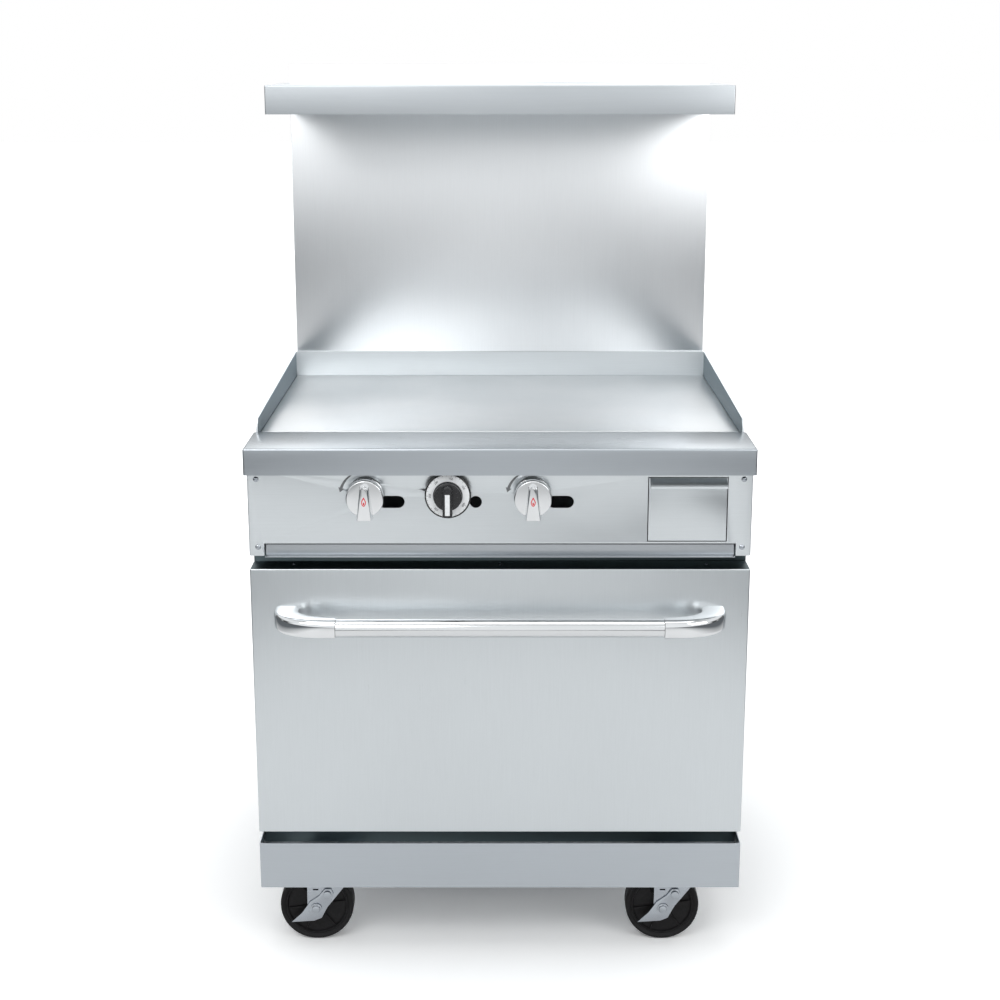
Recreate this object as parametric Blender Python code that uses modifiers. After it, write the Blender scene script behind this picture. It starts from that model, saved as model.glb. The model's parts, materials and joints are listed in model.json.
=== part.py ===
"""A 36-inch-class commercial gas range: griddle top, one oven, high shelf, four swivel casters.

Metres, +Z up. The front faces -Y. The origin is on the floor, at the middle of the range's box.
Depths (d) are measured back from the front face of the landing ledge.
"""

import math

import bmesh
import bpy
from mathutils import Matrix, Vector

# ---------------------------------------------------------------- driving dimensions
HALF_WIDTH = 0.450          # the landing ledge, the widest piece
LEDGE_TOP = 0.985           # working height
LEDGE_BOTTOM = 0.937
LEDGE_DEPTH = 0.132
BODY_DEPTH = 0.805          # ledge front to the back of the range
TOTAL_HEIGHT = 1.637        # top of the flue riser

SHEET = 0.0015              # body sheet
GAP = 0.0005                # between pieces that touch

HANDLE_RADIUS = 0.0165
HANDLE_STANDOFF = 0.068     # bar centre in front of the door face
DOOR_FACE_D = 0.020
HANDLE_FRONT_D = DOOR_FACE_D - HANDLE_STANDOFF - HANDLE_RADIUS
MIDDLE_D = (HANDLE_FRONT_D + BODY_DEPTH) / 2

# side panels, control panel
SIDE_IN = 0.4462
SIDE_OUT = 0.4477
SIDE_BOTTOM = 0.177
SIDE_TOP = 0.972
PANEL_D = 0.024
PANEL_HALF = 0.446
PANEL_BOTTOM = 0.7825
PANEL_TOP = 0.945

# controls on the panel
KNOB_X = (-0.238, 0.058)
KNOB_Z = 0.894
KNOB_RADIUS = 0.0335
DIAL_X = -0.092
DIAL_Z = 0.897
DIAL_RADIUS = 0.041
SLOT_X = ((-0.216, -0.169), (0.084, 0.131))
SLOT_Z = 0.8825
SLOT_HEIGHT = 0.022
PILOT_HOLE_X = -0.043
PILOT_HOLE_RADIUS = 0.0108
STEM_RADIUS = 0.004
STEM_HOLE_RADIUS = 0.0055

# crumb tray and grease drawer
TRAY_HALF = 0.4185
TRAY_BOTTOM, TRAY_TOP = 0.783, 0.8035
TRAY_BACK_D = 0.640
NOTCH_HALF, NOTCH_TOP = 0.4205, 0.8055
DRAWER_X = (0.262, 0.404)
DRAWER_Z = (0.809, 0.928)
DRAWER_CLEAR = 0.0015
DRAWER_BACK_D = 0.330
DRAWER_BOX_TOP = 0.921

# griddle
PLATE_HALF = 0.4415
PLATE_Z = (0.957, 0.977)
PLATE_FRONT_D = 0.169
SPLASH_IN, SPLASH_OUT = 0.442, 0.4455
SPLASH_TOP = 1.029
SPLASH_BOTTOM = 0.955
TROUGH_D = (0.1335, 0.1675)
TROUGH_Z = (0.930, 0.9705)

# backguard, flue riser, shelf
GUARD_D = 0.710
GUARD_HALF = 0.440
SHELF_HALF = 0.4425
SHELF_FRONT_D = 0.355
SHELF_Z = (1.546, 1.600)

# oven
FRAME_D = 0.0725
FRAME_Z = (0.200, 0.780)
MOUTH_HALF = 0.333
MOUTH_Z = (0.322, 0.688)
LINER_HALF = 0.337
LINER_D = (0.0745, 0.695)
LINER_Z = (0.262, 0.692)
DECK_TOP = 0.320
WOOL = 0.025
RACK_Z = 0.408
GUIDE_LEVELS = (0.400, 0.470, 0.540, 0.610)

# door
DOOR_HALF = 0.4475
DOOR_Z = (0.247, 0.759)
DOOR_BACK_D = 0.068
PIVOT_D = 0.035
PIVOT_Z = 0.257
HANDLE_Z = 0.672
BAR_HALF = 0.289
ELBOW_OUT = 0.405
ELBOW_SQUARENESS = 2.5
HINGE_X = 0.400
ROD_RADIUS = 0.0048

# base and kick panel
KICK_HALF = 0.448
KICK_Z = (0.134, 0.224)
KICK_BACK_D = 0.0745
BASE_D = (0.076, 0.803)
BASE_Z = (0.174, 0.199)

# casters
CASTER_X = 0.330
CASTER_D = (0.085, 0.715)
WHEEL_RADIUS = 0.070
WHEEL_OFFSET = 0.020        # the axle sits this far to -X of the swivel axis
LEG_IN, LEG_OUT = 0.023, 0.026
AXLE_RADIUS = 0.006
BORE_RADIUS = 0.0066

# gas train
GAS_X, GAS_Z, GAS_RADIUS = -0.400, 0.865, 0.0133
MANIFOLD_D, MANIFOLD_Z = 0.092, KNOB_Z
VALVE_D = (0.0285, 0.0775)
BURNER_Z = 0.9375

# ---------------------------------------------------------------- materials
MATERIALS = {
    "steel_sheet": ((0.66, 0.68, 0.70), 0.34, 1.0),
    "polished_steel": ((0.80, 0.81, 0.82), 0.12, 1.0),
    "chrome": ((0.86, 0.87, 0.88), 0.05, 1.0),
    "griddle_steel": ((0.62, 0.64, 0.66), 0.30, 1.0),
    "galvanised": ((0.55, 0.57, 0.59), 0.45, 1.0),
    "zinc": ((0.70, 0.72, 0.75), 0.28, 1.0),
    "enamel": ((0.05, 0.055, 0.065), 0.25, 0.0),
    "cast_iron": ((0.09, 0.09, 0.095), 0.65, 0.6),
    "brass": ((0.72, 0.56, 0.28), 0.30, 1.0),
    "black_pipe": ((0.07, 0.07, 0.075), 0.50, 0.5),
    "black_plastic": ((0.02, 0.02, 0.022), 0.30, 0.0),
    "wheel_black": ((0.018, 0.018, 0.019), 0.45, 0.0),
    "wool": ((0.72, 0.66, 0.50), 0.95, 0.0),
}


def make_material(name):
    colour, roughness, metallic = MATERIALS[name]
    material = bpy.data.materials.new(name)
    material.use_nodes = True
    shader = material.node_tree.nodes["Principled BSDF"]
    shader.inputs["Base Color"].default_value = (*colour, 1.0)
    shader.inputs["Roughness"].default_value = roughness
    shader.inputs["Metallic"].default_value = metallic
    return material


# ---------------------------------------------------------------- scene set-up
for old in list(bpy.data.objects):
    bpy.data.objects.remove(old)
parts = bpy.data.collections.new("gas_range")
cutters = bpy.data.collections.new("cutters")
bpy.context.scene.collection.children.link(parts)
bpy.context.scene.collection.children.link(cutters)
materials = {name: make_material(name) for name in MATERIALS}


# ---------------------------------------------------------------- modelling helpers
def y_at(d):
    """World Y of a depth behind the ledge's front face."""
    return d - MIDDLE_D


def add_object(name, data, material):
    obj = bpy.data.objects.new(name, data)
    parts.objects.link(obj)
    data.materials.append(materials[material])
    return obj


def finish_mesh(bm, name, material):
    bmesh.ops.remove_doubles(bm, verts=bm.verts, dist=1e-6)
    bmesh.ops.recalc_face_normals(bm, faces=bm.faces)
    mesh = bpy.data.meshes.new(name)
    bm.to_mesh(mesh)
    bm.free()
    return add_object(name, mesh, material)


def cube_bmesh(x, d, z):
    """A cube scaled to the ranges x, d and z."""
    bm = bmesh.new()
    bmesh.ops.create_cube(bm, size=1.0)
    y = (y_at(d[0]), y_at(d[1]))
    size = Matrix.Diagonal((x[1] - x[0], y[1] - y[0], z[1] - z[0], 1))
    middle = Vector(((x[0] + x[1]) / 2, (y[0] + y[1]) / 2, (z[0] + z[1]) / 2))
    bmesh.ops.transform(bm, matrix=Matrix.Translation(middle) @ size, verts=bm.verts)
    return bm


def block(name, x, d, z, material):
    return finish_mesh(cube_bmesh(x, d, z), name, material)


def shell_box(name, x, d, z, open_sides, material, thickness=SHEET):
    """A box of sheet, open on the sides named by their outward directions, folded inwards."""
    bm = cube_bmesh(x, d, z)
    bm.normal_update()
    gone = [f for f in bm.faces if any(f.normal.dot(Vector(s)) > 0.9 for s in open_sides)]
    bmesh.ops.delete(bm, geom=gone, context="FACES")
    mesh = bpy.data.meshes.new(name)
    bm.to_mesh(mesh)
    bm.free()
    obj = add_object(name, mesh, material)
    solidify = obj.modifiers.new("sheet", "SOLIDIFY")
    solidify.thickness = thickness
    solidify.offset = -1
    solidify.use_even_offset = True
    return obj


def rod(name, start, end, radius, material, sides=16):
    """A round bar between two world points."""
    start, end = Vector(start), Vector(end)
    axis = end - start
    bm = bmesh.new()
    bmesh.ops.create_cone(
        bm, cap_ends=True, segments=sides, radius1=radius, radius2=radius, depth=axis.length
    )
    turn = axis.to_track_quat("Z", "Y").to_matrix().to_4x4()
    place = Matrix.Translation((start + end) / 2) @ turn
    bmesh.ops.transform(bm, matrix=place, verts=bm.verts)
    return finish_mesh(bm, name, material)


def mesh_from(obj, name, material):
    """The evaluated shape of a curve or a modified mesh, as a plain welded mesh. obj is removed."""
    bpy.context.view_layer.update()
    graph = bpy.context.evaluated_depsgraph_get()
    mesh = bpy.data.meshes.new_from_object(obj.evaluated_get(graph))
    world = obj.matrix_world.copy()
    bm = bmesh.new()
    bm.from_mesh(mesh)
    bpy.data.meshes.remove(mesh)
    bpy.data.objects.remove(obj)
    made = finish_mesh(bm, name, material)
    made.matrix_world = world
    return made


def flat_outline(name, points, thickness, frame, material):
    """A flat plate: points are its outline in frame's XY plane, and it is centred on that plane."""
    curve = bpy.data.curves.new(name, "CURVE")
    curve.dimensions = "2D"
    curve.fill_mode = "BOTH"
    curve.extrude = thickness / 2
    spline = curve.splines.new("POLY")
    spline.points.add(len(points) - 1)
    for point, (u, v) in zip(spline.points, points):
        point.co = (u, v, 0, 1)
    spline.use_cyclic_u = True
    obj = bpy.data.objects.new(name, curve)
    parts.objects.link(obj)
    obj.matrix_world = frame
    return mesh_from(obj, name, material)


def side_frame(x):
    """A frame whose X is depth (as world Y), whose Y is up, and whose plane is at x."""
    return Matrix(((0, 0, 1, x), (1, 0, 0, -MIDDLE_D), (0, 1, 0, 0), (0, 0, 0, 1)))


def front_frame(x, d, z):
    """A frame that faces -Y: its X is world X and its Y is up, with its origin at x, d, z."""
    return Matrix(((1, 0, 0, x), (0, 0, -1, y_at(d)), (0, 1, 0, z), (0, 0, 0, 1)))


def plan_frame(z):
    """A frame seen from above: its X is world X and its Y is depth."""
    return Matrix(((1, 0, 0, 0), (0, 1, 0, -MIDDLE_D), (0, 0, 1, z), (0, 0, 0, 1)))


def turned(name, profile, frame, material, steps=32):
    """A round piece: profile is a closed list of (radius, height) turned about frame's Z axis."""
    mesh = bpy.data.meshes.new(name)
    edges = [(i, (i + 1) % len(profile)) for i in range(len(profile))]
    if min(radius for radius, _ in profile) == 0:
        edges = edges[:-1]
    mesh.from_pydata([(radius, 0, height) for radius, height in profile], edges, [])
    obj = bpy.data.objects.new(name, mesh)
    parts.objects.link(obj)
    screw = obj.modifiers.new("turn", "SCREW")
    screw.steps = screw.render_steps = steps
    screw.use_merge_vertices = True
    screw.merge_threshold = 0.00001
    obj.matrix_world = frame
    return mesh_from(obj, name, material)


def facing_front(x, d, z):
    """A frame at x, d, z whose Z axis points out of the range's front."""
    return Matrix.Translation((x, y_at(d), z)) @ Matrix.Rotation(math.radians(90), 4, "X")


def tube(name, points, radius, material, resolution=2, closed=False):
    """A round tube along world points, with closed ends unless the run itself is closed."""
    curve = bpy.data.curves.new(name, "CURVE")
    curve.dimensions = "3D"
    curve.bevel_depth = radius
    curve.bevel_resolution = resolution
    curve.use_fill_caps = True
    spline = curve.splines.new("POLY")
    spline.points.add(len(points) - 1)
    for point, place in zip(spline.points, points):
        point.co = (*place, 1)
    spline.use_cyclic_u = closed
    obj = bpy.data.objects.new(name, curve)
    parts.objects.link(obj)
    return mesh_from(obj, name, material)


def boolean(obj, others, operation):
    for other in others:
        modifier = obj.modifiers.new(operation.lower(), "BOOLEAN")
        modifier.operation = operation
        modifier.object = other
        parts.objects.unlink(other)
        cutters.objects.link(other)
        other.hide_render = True
        other.display_type = "WIRE"
    return obj


def cut(obj, *others):
    return boolean(obj, others, "DIFFERENCE")


def weld_on(obj, *others):
    return boolean(obj, others, "UNION")


def smooth(obj, angle=35):
    obj.data.shade_smooth()
    obj.data.set_sharp_from_angle(angle=math.radians(angle))
    return obj


def joint_empty(name, x, d, z):
    empty = bpy.data.objects.new(name, None)
    empty.location = (x, y_at(d), z)
    parts.objects.link(empty)
    return empty


def ride(empty, *objs):
    """Parents objs to empty, which stands on their joint's axis, and leaves them where they are."""
    for obj in objs:
        obj.parent = empty
        obj.matrix_parent_inverse = Matrix.Translation(empty.location).inverted()


def arc(centre, radius, start, end, count):
    """Points round a centre, from one angle in degrees to another."""
    angles = [math.radians(start + (end - start) * i / (count - 1)) for i in range(count)]
    return [(centre[0] + radius * math.cos(a), centre[1] + radius * math.sin(a)) for a in angles]


UP, DOWN, FRONT, BACK = (0, 0, 1), (0, 0, -1), (0, -1, 0), (0, 1, 0)


def both(half):
    return (-half, half)


# ---------------------------------------------------------------- body
def make_side_panel(name, side):
    outline = [
        (KICK_BACK_D, SIDE_BOTTOM), (BASE_D[1], SIDE_BOTTOM), (BASE_D[1], SIDE_TOP),
        (LEDGE_DEPTH + 2 * GAP, SIDE_TOP), (LEDGE_DEPTH + 2 * GAP, LEDGE_BOTTOM - GAP),
        (PANEL_D + SHEET + GAP, LEDGE_BOTTOM - GAP), (PANEL_D + SHEET + GAP, PANEL_BOTTOM),
        (KICK_BACK_D, PANEL_BOTTOM),
    ]
    middle = side * (SIDE_IN + SIDE_OUT) / 2
    return flat_outline(name, outline, SIDE_OUT - SIDE_IN, side_frame(middle), "steel_sheet")


def make_body():
    make_side_panel("side_panel_left", -1)
    make_side_panel("side_panel_right", 1)
    back = block("back_panel", both(SIDE_OUT), (BODY_DEPTH - SHEET, BODY_DEPTH),
                 (SIDE_BOTTOM, SIDE_TOP), "galvanised")
    cut(back, rod("gas_hole", (GAS_X, y_at(0.79), GAS_Z), (GAS_X, y_at(0.82), GAS_Z),
                  GAS_RADIUS + 0.006, "galvanised", sides=20))
    shell_box("base_pan", both(0.4457), BASE_D, BASE_Z, (UP,), "galvanised", thickness=0.002)
    shell_box("kick_panel", both(KICK_HALF), (DOOR_FACE_D, KICK_BACK_D - GAP), KICK_Z,
              (UP, DOWN, BACK), "steel_sheet")
    frame = block("face_frame", both(SIDE_IN - GAP), (FRAME_D, FRAME_D + SHEET), FRAME_Z,
                  "steel_sheet")
    cut(frame, block("mouth", both(MOUTH_HALF), (FRAME_D - 0.01, FRAME_D + 0.01), MOUTH_Z,
                     "steel_sheet"))


# ---------------------------------------------------------------- control panel and controls
def make_control_panel():
    panel = block("control_panel", both(PANEL_HALF), (PANEL_D, PANEL_D + SHEET),
                  (PANEL_BOTTOM, PANEL_TOP), "steel_sheet")
    through = (PANEL_D - 0.01, PANEL_D + 0.01)
    holes = [
        block("tray_notch", both(NOTCH_HALF), through, (PANEL_BOTTOM - 0.01, NOTCH_TOP),
              "steel_sheet"),
        block("drawer_hole", DRAWER_X, through, DRAWER_Z, "steel_sheet"),
    ]
    for number, (low, high) in enumerate(SLOT_X):
        r = SLOT_HEIGHT / 2
        outline = arc((high - r, 0), r, -90, 90, 9) + arc((low + r, 0), r, 90, 270, 9)
        holes.append(flat_outline(f"slot_{number}", outline, 0.02,
                                  front_frame(0, PANEL_D, SLOT_Z), "steel_sheet"))
    rounds = [(x, KNOB_Z, STEM_HOLE_RADIUS) for x in KNOB_X]
    rounds += [(DIAL_X, DIAL_Z, STEM_HOLE_RADIUS), (PILOT_HOLE_X, SLOT_Z, PILOT_HOLE_RADIUS)]
    for number, (x, z, radius) in enumerate(rounds):
        holes.append(rod(f"round_{number}", (x, y_at(through[0]), z), (x, y_at(through[1]), z),
                         radius, "steel_sheet", sides=20))
    cut(panel, *holes)


def make_knob(name, x):
    """A chrome disc with a raised grip that widens downwards, on its valve stem."""
    back = PANEL_D - 0.002
    frame = facing_front(x, back, KNOB_Z)
    profile = [
        (0, 0.024), (KNOB_RADIUS - 0.002, 0.024), (KNOB_RADIUS, 0.022), (KNOB_RADIUS, 0.008),
        (KNOB_RADIUS - 0.003, 0.007), (KNOB_RADIUS - 0.003, 0.004), (KNOB_RADIUS, 0.003),
        (KNOB_RADIUS, 0.0), (STEM_RADIUS, 0.0), (STEM_RADIUS, -0.030), (0, -0.030),
    ]
    knob = turned(name, profile, frame, "chrome", steps=36)
    outline = [(0.016, -0.035), (0.0095, 0.018)] + arc((0, 0.018), 0.0095, 30, 150, 5)
    outline += [(-0.0095, 0.018), (-0.016, -0.035)]
    grip = flat_outline(name + "_grip", outline, 0.022,
                        front_frame(x, back - 0.031, KNOB_Z), "chrome")
    weld_on(knob, grip)
    ride(joint_empty(name + "_axis", x, back, KNOB_Z), knob)


def make_dial():
    """The oven thermostat's dial: a skirt, a graduated face and a grip."""
    back = PANEL_D - 0.002
    frame = facing_front(DIAL_X, back, DIAL_Z)
    profile = [
        (0, 0.026), (0.0235, 0.026), (0.025, 0.0245), (0.026, 0.012), (DIAL_RADIUS - 0.001, 0.012),
        (DIAL_RADIUS, 0.011), (DIAL_RADIUS, 0.007), (0.037, 0.006), (0.037, 0.003),
        (0.039, 0.002), (0.039, 0.0), (STEM_RADIUS, 0.0), (STEM_RADIUS, -0.030), (0, -0.030),
    ]
    dial = turned("thermostat_dial", profile, frame, "black_plastic", steps=36)
    outline = [(0.0085, -0.031), (0.0085, 0.010)] + arc((0, 0.010), 0.0085, 30, 150, 5)
    outline += [(-0.0085, 0.010), (-0.0085, -0.031)]
    grip = flat_outline("dial_grip", outline, 0.022,
                        front_frame(DIAL_X, back - 0.029, DIAL_Z), "black_plastic")
    weld_on(dial, grip)
    ride(joint_empty("thermostat_axis", DIAL_X, back, DIAL_Z), dial)


# ---------------------------------------------------------------- gas train


def make_valve(name, x, z, half, material, height):
    """A valve body with a blind bore for the stem, and a spigot into the manifold."""
    body = block(name, (x - half, x + half), VALVE_D, (z - height / 2, z + height / 2), material)
    cut(body, rod(name + "_bore", (x, y_at(VALVE_D[0] - 0.01), z), (x, y_at(0.058), z),
                  STEM_RADIUS + 0.0006, material, sides=20))


def make_gas_train():
    corner = 0.02
    points = [
        (0.180, y_at(MANIFOLD_D), MANIFOLD_Z),
        (GAS_X + corner, y_at(MANIFOLD_D), MANIFOLD_Z),
        (GAS_X, y_at(MANIFOLD_D + corner), MANIFOLD_Z),
        (GAS_X, y_at(0.200), MANIFOLD_Z),
        (GAS_X, y_at(0.240), GAS_Z),
        (GAS_X, y_at(BODY_DEPTH - 0.0005), GAS_Z),
    ]
    pipe = tube("gas_manifold", points, GAS_RADIUS, "black_pipe", resolution=3)
    cut(pipe, rod("pipe_bore", (GAS_X, y_at(0.76), GAS_Z), (GAS_X, y_at(0.83), GAS_Z), 0.0095,
                  "black_pipe", sides=16))
    for name, x in zip(("gas_valve_left", "gas_valve_right"), KNOB_X):
        make_valve(name, x, KNOB_Z, 0.016, "brass", 0.034)
    make_valve("oven_thermostat", DIAL_X, DIAL_Z, 0.028, "galvanised", 0.060)
    for name, inlet_x, legs in (
        ("griddle_burner_left", KNOB_X[0], (-0.310, -0.140)),
        ("griddle_burner_right", KNOB_X[1], (0.140, 0.310)),
    ):
        near, far = sorted(legs, key=lambda leg: abs(leg - inlet_x))
        if name.endswith("right"):
            near, far = legs
        turn = math.copysign(0.03, far - near)
        points = [
            (inlet_x, y_at(0.112), KNOB_Z), (inlet_x, y_at(0.150), KNOB_Z),
            (near, y_at(0.225), BURNER_Z), (near, y_at(0.620), BURNER_Z),
            (near + turn, y_at(0.650), BURNER_Z), (far - turn, y_at(0.650), BURNER_Z),
            (far, y_at(0.620), BURNER_Z), (far, y_at(0.230), BURNER_Z),
        ]
        tube(name, points, 0.012, "cast_iron", resolution=3)
    tube("oven_burner", [(0, y_at(0.110), 0.291), (0, y_at(0.640), 0.291)], 0.016, "cast_iron",
         resolution=4)


# ---------------------------------------------------------------- top
def make_top():
    shell_box("front_ledge", both(HALF_WIDTH), (0, LEDGE_DEPTH), (LEDGE_BOTTOM, LEDGE_TOP),
              (DOWN,), "steel_sheet")
    block("griddle_plate", both(PLATE_HALF), (PLATE_FRONT_D, GUARD_D - 0.0045), PLATE_Z,
          "griddle_steel")
    back = block("griddle_splash", both(SPLASH_OUT), (GUARD_D - 0.004, GUARD_D - GAP),
                 (SPLASH_BOTTOM, SPLASH_TOP), "griddle_steel")
    outline = [
        (TROUGH_D[0], SPLASH_BOTTOM), (TROUGH_D[0], LEDGE_TOP + 0.006),
        (TROUGH_D[0] + 0.008, LEDGE_TOP + 0.023), (GUARD_D - 0.002, SPLASH_TOP - 0.0002),
        (GUARD_D - 0.002, SPLASH_BOTTOM + 0.0002),
    ]
    middle = (SPLASH_IN + SPLASH_OUT) / 2 - 0.0001
    sides = [
        flat_outline(f"splash_side_{side}", outline, SPLASH_OUT - SPLASH_IN - 0.0002,
                     side_frame(side * middle), "griddle_steel")
        for side in (-1, 1)
    ]
    weld_on(back, *sides)
    ring = block("griddle_frame", both(SPLASH_IN - GAP), (PLATE_FRONT_D, GUARD_D - 0.005),
                 (0.951, PLATE_Z[0] - GAP), "galvanised")
    cut(ring, block("ring_hole", both(SPLASH_IN - 0.022), (0.195, 0.680), (0.94, 0.97),
                    "galvanised"))
    trough = shell_box("grease_trough", both(PLATE_HALF), TROUGH_D, TROUGH_Z, (UP,),
                       "griddle_steel", thickness=0.002)
    cut(trough, block("drain", (0.300, 0.366), (0.142, 0.159), (0.92, 0.94), "griddle_steel"))


def make_guard():
    block("backguard", both(GUARD_HALF), (GUARD_D, GUARD_D + SHEET), (PLATE_Z[0], TOTAL_HEIGHT),
          "steel_sheet")
    shell_box("flue_riser", both(GUARD_HALF), (GUARD_D + SHEET + GAP, BODY_DEPTH),
              (SIDE_TOP + GAP, TOTAL_HEIGHT), (UP, DOWN, FRONT), "galvanised")
    shell_box("high_shelf", both(SHELF_HALF), (SHELF_FRONT_D, GUARD_D - GAP), SHELF_Z,
              (DOWN, BACK), "steel_sheet")


# ---------------------------------------------------------------- crumb tray and grease drawer
def make_tray():
    tray = shell_box("crumb_tray", both(TRAY_HALF), (PANEL_D + 0.001, TRAY_BACK_D),
                     (TRAY_BOTTOM, TRAY_TOP), (UP,), "steel_sheet")
    lip = block("tray_lip", both(TRAY_HALF - 0.0002), (PANEL_D - 0.012, PANEL_D + 0.002),
                (TRAY_BOTTOM + 0.0002, TRAY_BOTTOM + 0.0018), "steel_sheet")
    weld_on(tray, lip)
    ride(joint_empty("crumb_tray_axis", 0, PANEL_D, TRAY_BOTTOM), tray)


def make_drawer():
    """A deep grease can behind a flush front, with a folded pull along its top."""
    x = (DRAWER_X[0] + DRAWER_CLEAR, DRAWER_X[1] - DRAWER_CLEAR)
    z = (DRAWER_Z[0] + DRAWER_CLEAR, DRAWER_Z[1] - DRAWER_CLEAR)
    can = shell_box("grease_drawer", (x[0] + 0.003, x[1] - 0.003), (PANEL_D + 0.0005, DRAWER_BACK_D),
                    (z[0] + 0.001, DRAWER_BOX_TOP), (UP,), "steel_sheet", thickness=0.002)
    face = block("drawer_face", x, (PANEL_D, PANEL_D + 0.0018), z, "steel_sheet")
    # The pull slopes out and down from the top edge of the face.
    outline = [
        (PANEL_D + 0.001, z[1] - 0.0008), (PANEL_D + 0.001, z[1] - 0.0028),
        (PANEL_D - 0.016, z[1] - 0.0148), (PANEL_D - 0.0175, z[1] - 0.0132),
    ]
    pull = flat_outline("drawer_pull", outline, x[1] - x[0] - 0.003,
                        side_frame((x[0] + x[1]) / 2), "steel_sheet")
    weld_on(can, face, pull)
    ride(joint_empty("grease_drawer_axis", x[0], PANEL_D, z[0]), can)


# ---------------------------------------------------------------- oven
def make_rack_guide(name, side):
    """A side plate with pairs of ribs that the rack slides between."""
    wall = LINER_HALF - SHEET - GAP
    plate = block(name, sorted((side * wall, side * (wall - 0.0015))), (0.110, 0.680),
                  (0.345, 0.660), "zinc")
    ribs = [
        block(f"{name}_rib_{number}", sorted((side * (wall - 0.0008), side * (wall - 0.014))),
              (0.112, 0.678), (level - 0.002, level), "zinc")
        for number, level in enumerate(GUIDE_LEVELS)
    ]
    weld_on(plate, *ribs)


def make_rack():
    """A wire rack: a closed rod frame with wires laid over it from front to back."""
    half, front, back, frame_r, wire_r = 0.3185, 0.112, 0.655, 0.0035, 0.0022
    y0, y1 = y_at(front), y_at(back)
    corners = [(-half, y0, RACK_Z), (half, y0, RACK_Z), (half, y1, RACK_Z), (-half, y1, RACK_Z)]
    rack = tube("oven_rack", corners, frame_r, "chrome", resolution=1, closed=True)
    middle = (y0 + y1) / 2
    bars = [rod("rack_bar", (-half - 0.0007, middle, RACK_Z - 0.0004),
                (half + 0.0007, middle, RACK_Z - 0.0004), frame_r * 0.85, "chrome", sides=8)]
    wires = 11
    for number in range(wires):
        x = half * (2 * (number + 1) / (wires + 1) - 1)
        bars.append(rod(f"rack_wire_{number}", (x, y0 - 0.0011, RACK_Z + 0.0021),
                        (x, y1 + 0.0011, RACK_Z + 0.0021), wire_r, "chrome", sides=6))
    weld_on(rack, *bars)


def make_oven():
    wall = LINER_HALF
    shell_box("oven_liner", both(wall), LINER_D, LINER_Z, (FRONT,), "enamel")
    deck = shell_box("oven_deck", both(wall - SHEET - GAP), (0.082, LINER_D[1] - SHEET - GAP),
                     (LINER_Z[0] + SHEET + GAP, DECK_TOP), (DOWN,), "enamel")
    slots = [
        block(f"deck_slot_{side}", sorted((side * (wall - 0.035), side * (wall - 0.050))),
              (0.16, 0.62), (DECK_TOP - 0.01, DECK_TOP + 0.01), "enamel")
        for side in (-1, 1)
    ]
    cut(deck, *slots)
    shell_box("oven_insulation", both(wall + GAP + WOOL), (LINER_D[0] + 0.001, LINER_D[1] + GAP + WOOL),
              (LINER_Z[0] - GAP - WOOL, LINER_Z[1] + GAP + WOOL), (FRONT,), "wool", thickness=WOOL)
    make_rack_guide("rack_guide_left", -1)
    make_rack_guide("rack_guide_right", 1)
    make_rack()


# ---------------------------------------------------------------- door
def quarter_turn(steps):
    """(cosine, sine) from 0 to 90 degrees, with exact ends."""
    turns = (math.radians(90 * i / steps) for i in range(1, steps))
    return [(1.0, 0.0), *((math.cos(a), math.sin(a)) for a in turns), (0.0, 1.0)]


def make_elbow(name, side):
    """A cast end of the handle: it leaves the door face and turns through a square-shouldered bend."""
    reach = HANDLE_STANDOFF + HANDLE_RADIUS - GAP
    thick = 0.034
    face = DOOR_FACE_D - GAP
    power = 2 / ELBOW_SQUARENESS
    outer = [
        (BAR_HALF + (ELBOW_OUT - BAR_HALF) * across ** power, face - reach * out ** power)
        for across, out in quarter_turn(12)
    ]
    span = ELBOW_OUT - 0.044 - BAR_HALF
    depth = reach - thick
    inner = [
        (BAR_HALF + span * across ** power, face - depth * out ** power)
        for across, out in reversed(quarter_turn(6))
    ]
    outline = [(side * x, d) for x, d in outer + inner]
    elbow = flat_outline(name, outline, 0.037, plan_frame(HANDLE_Z), "chrome")
    bevel = elbow.modifiers.new("round", "BEVEL")
    bevel.width = 0.006
    bevel.segments = 2
    bevel.limit_method = "ANGLE"
    bevel.angle_limit = math.radians(60)
    return elbow


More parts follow.
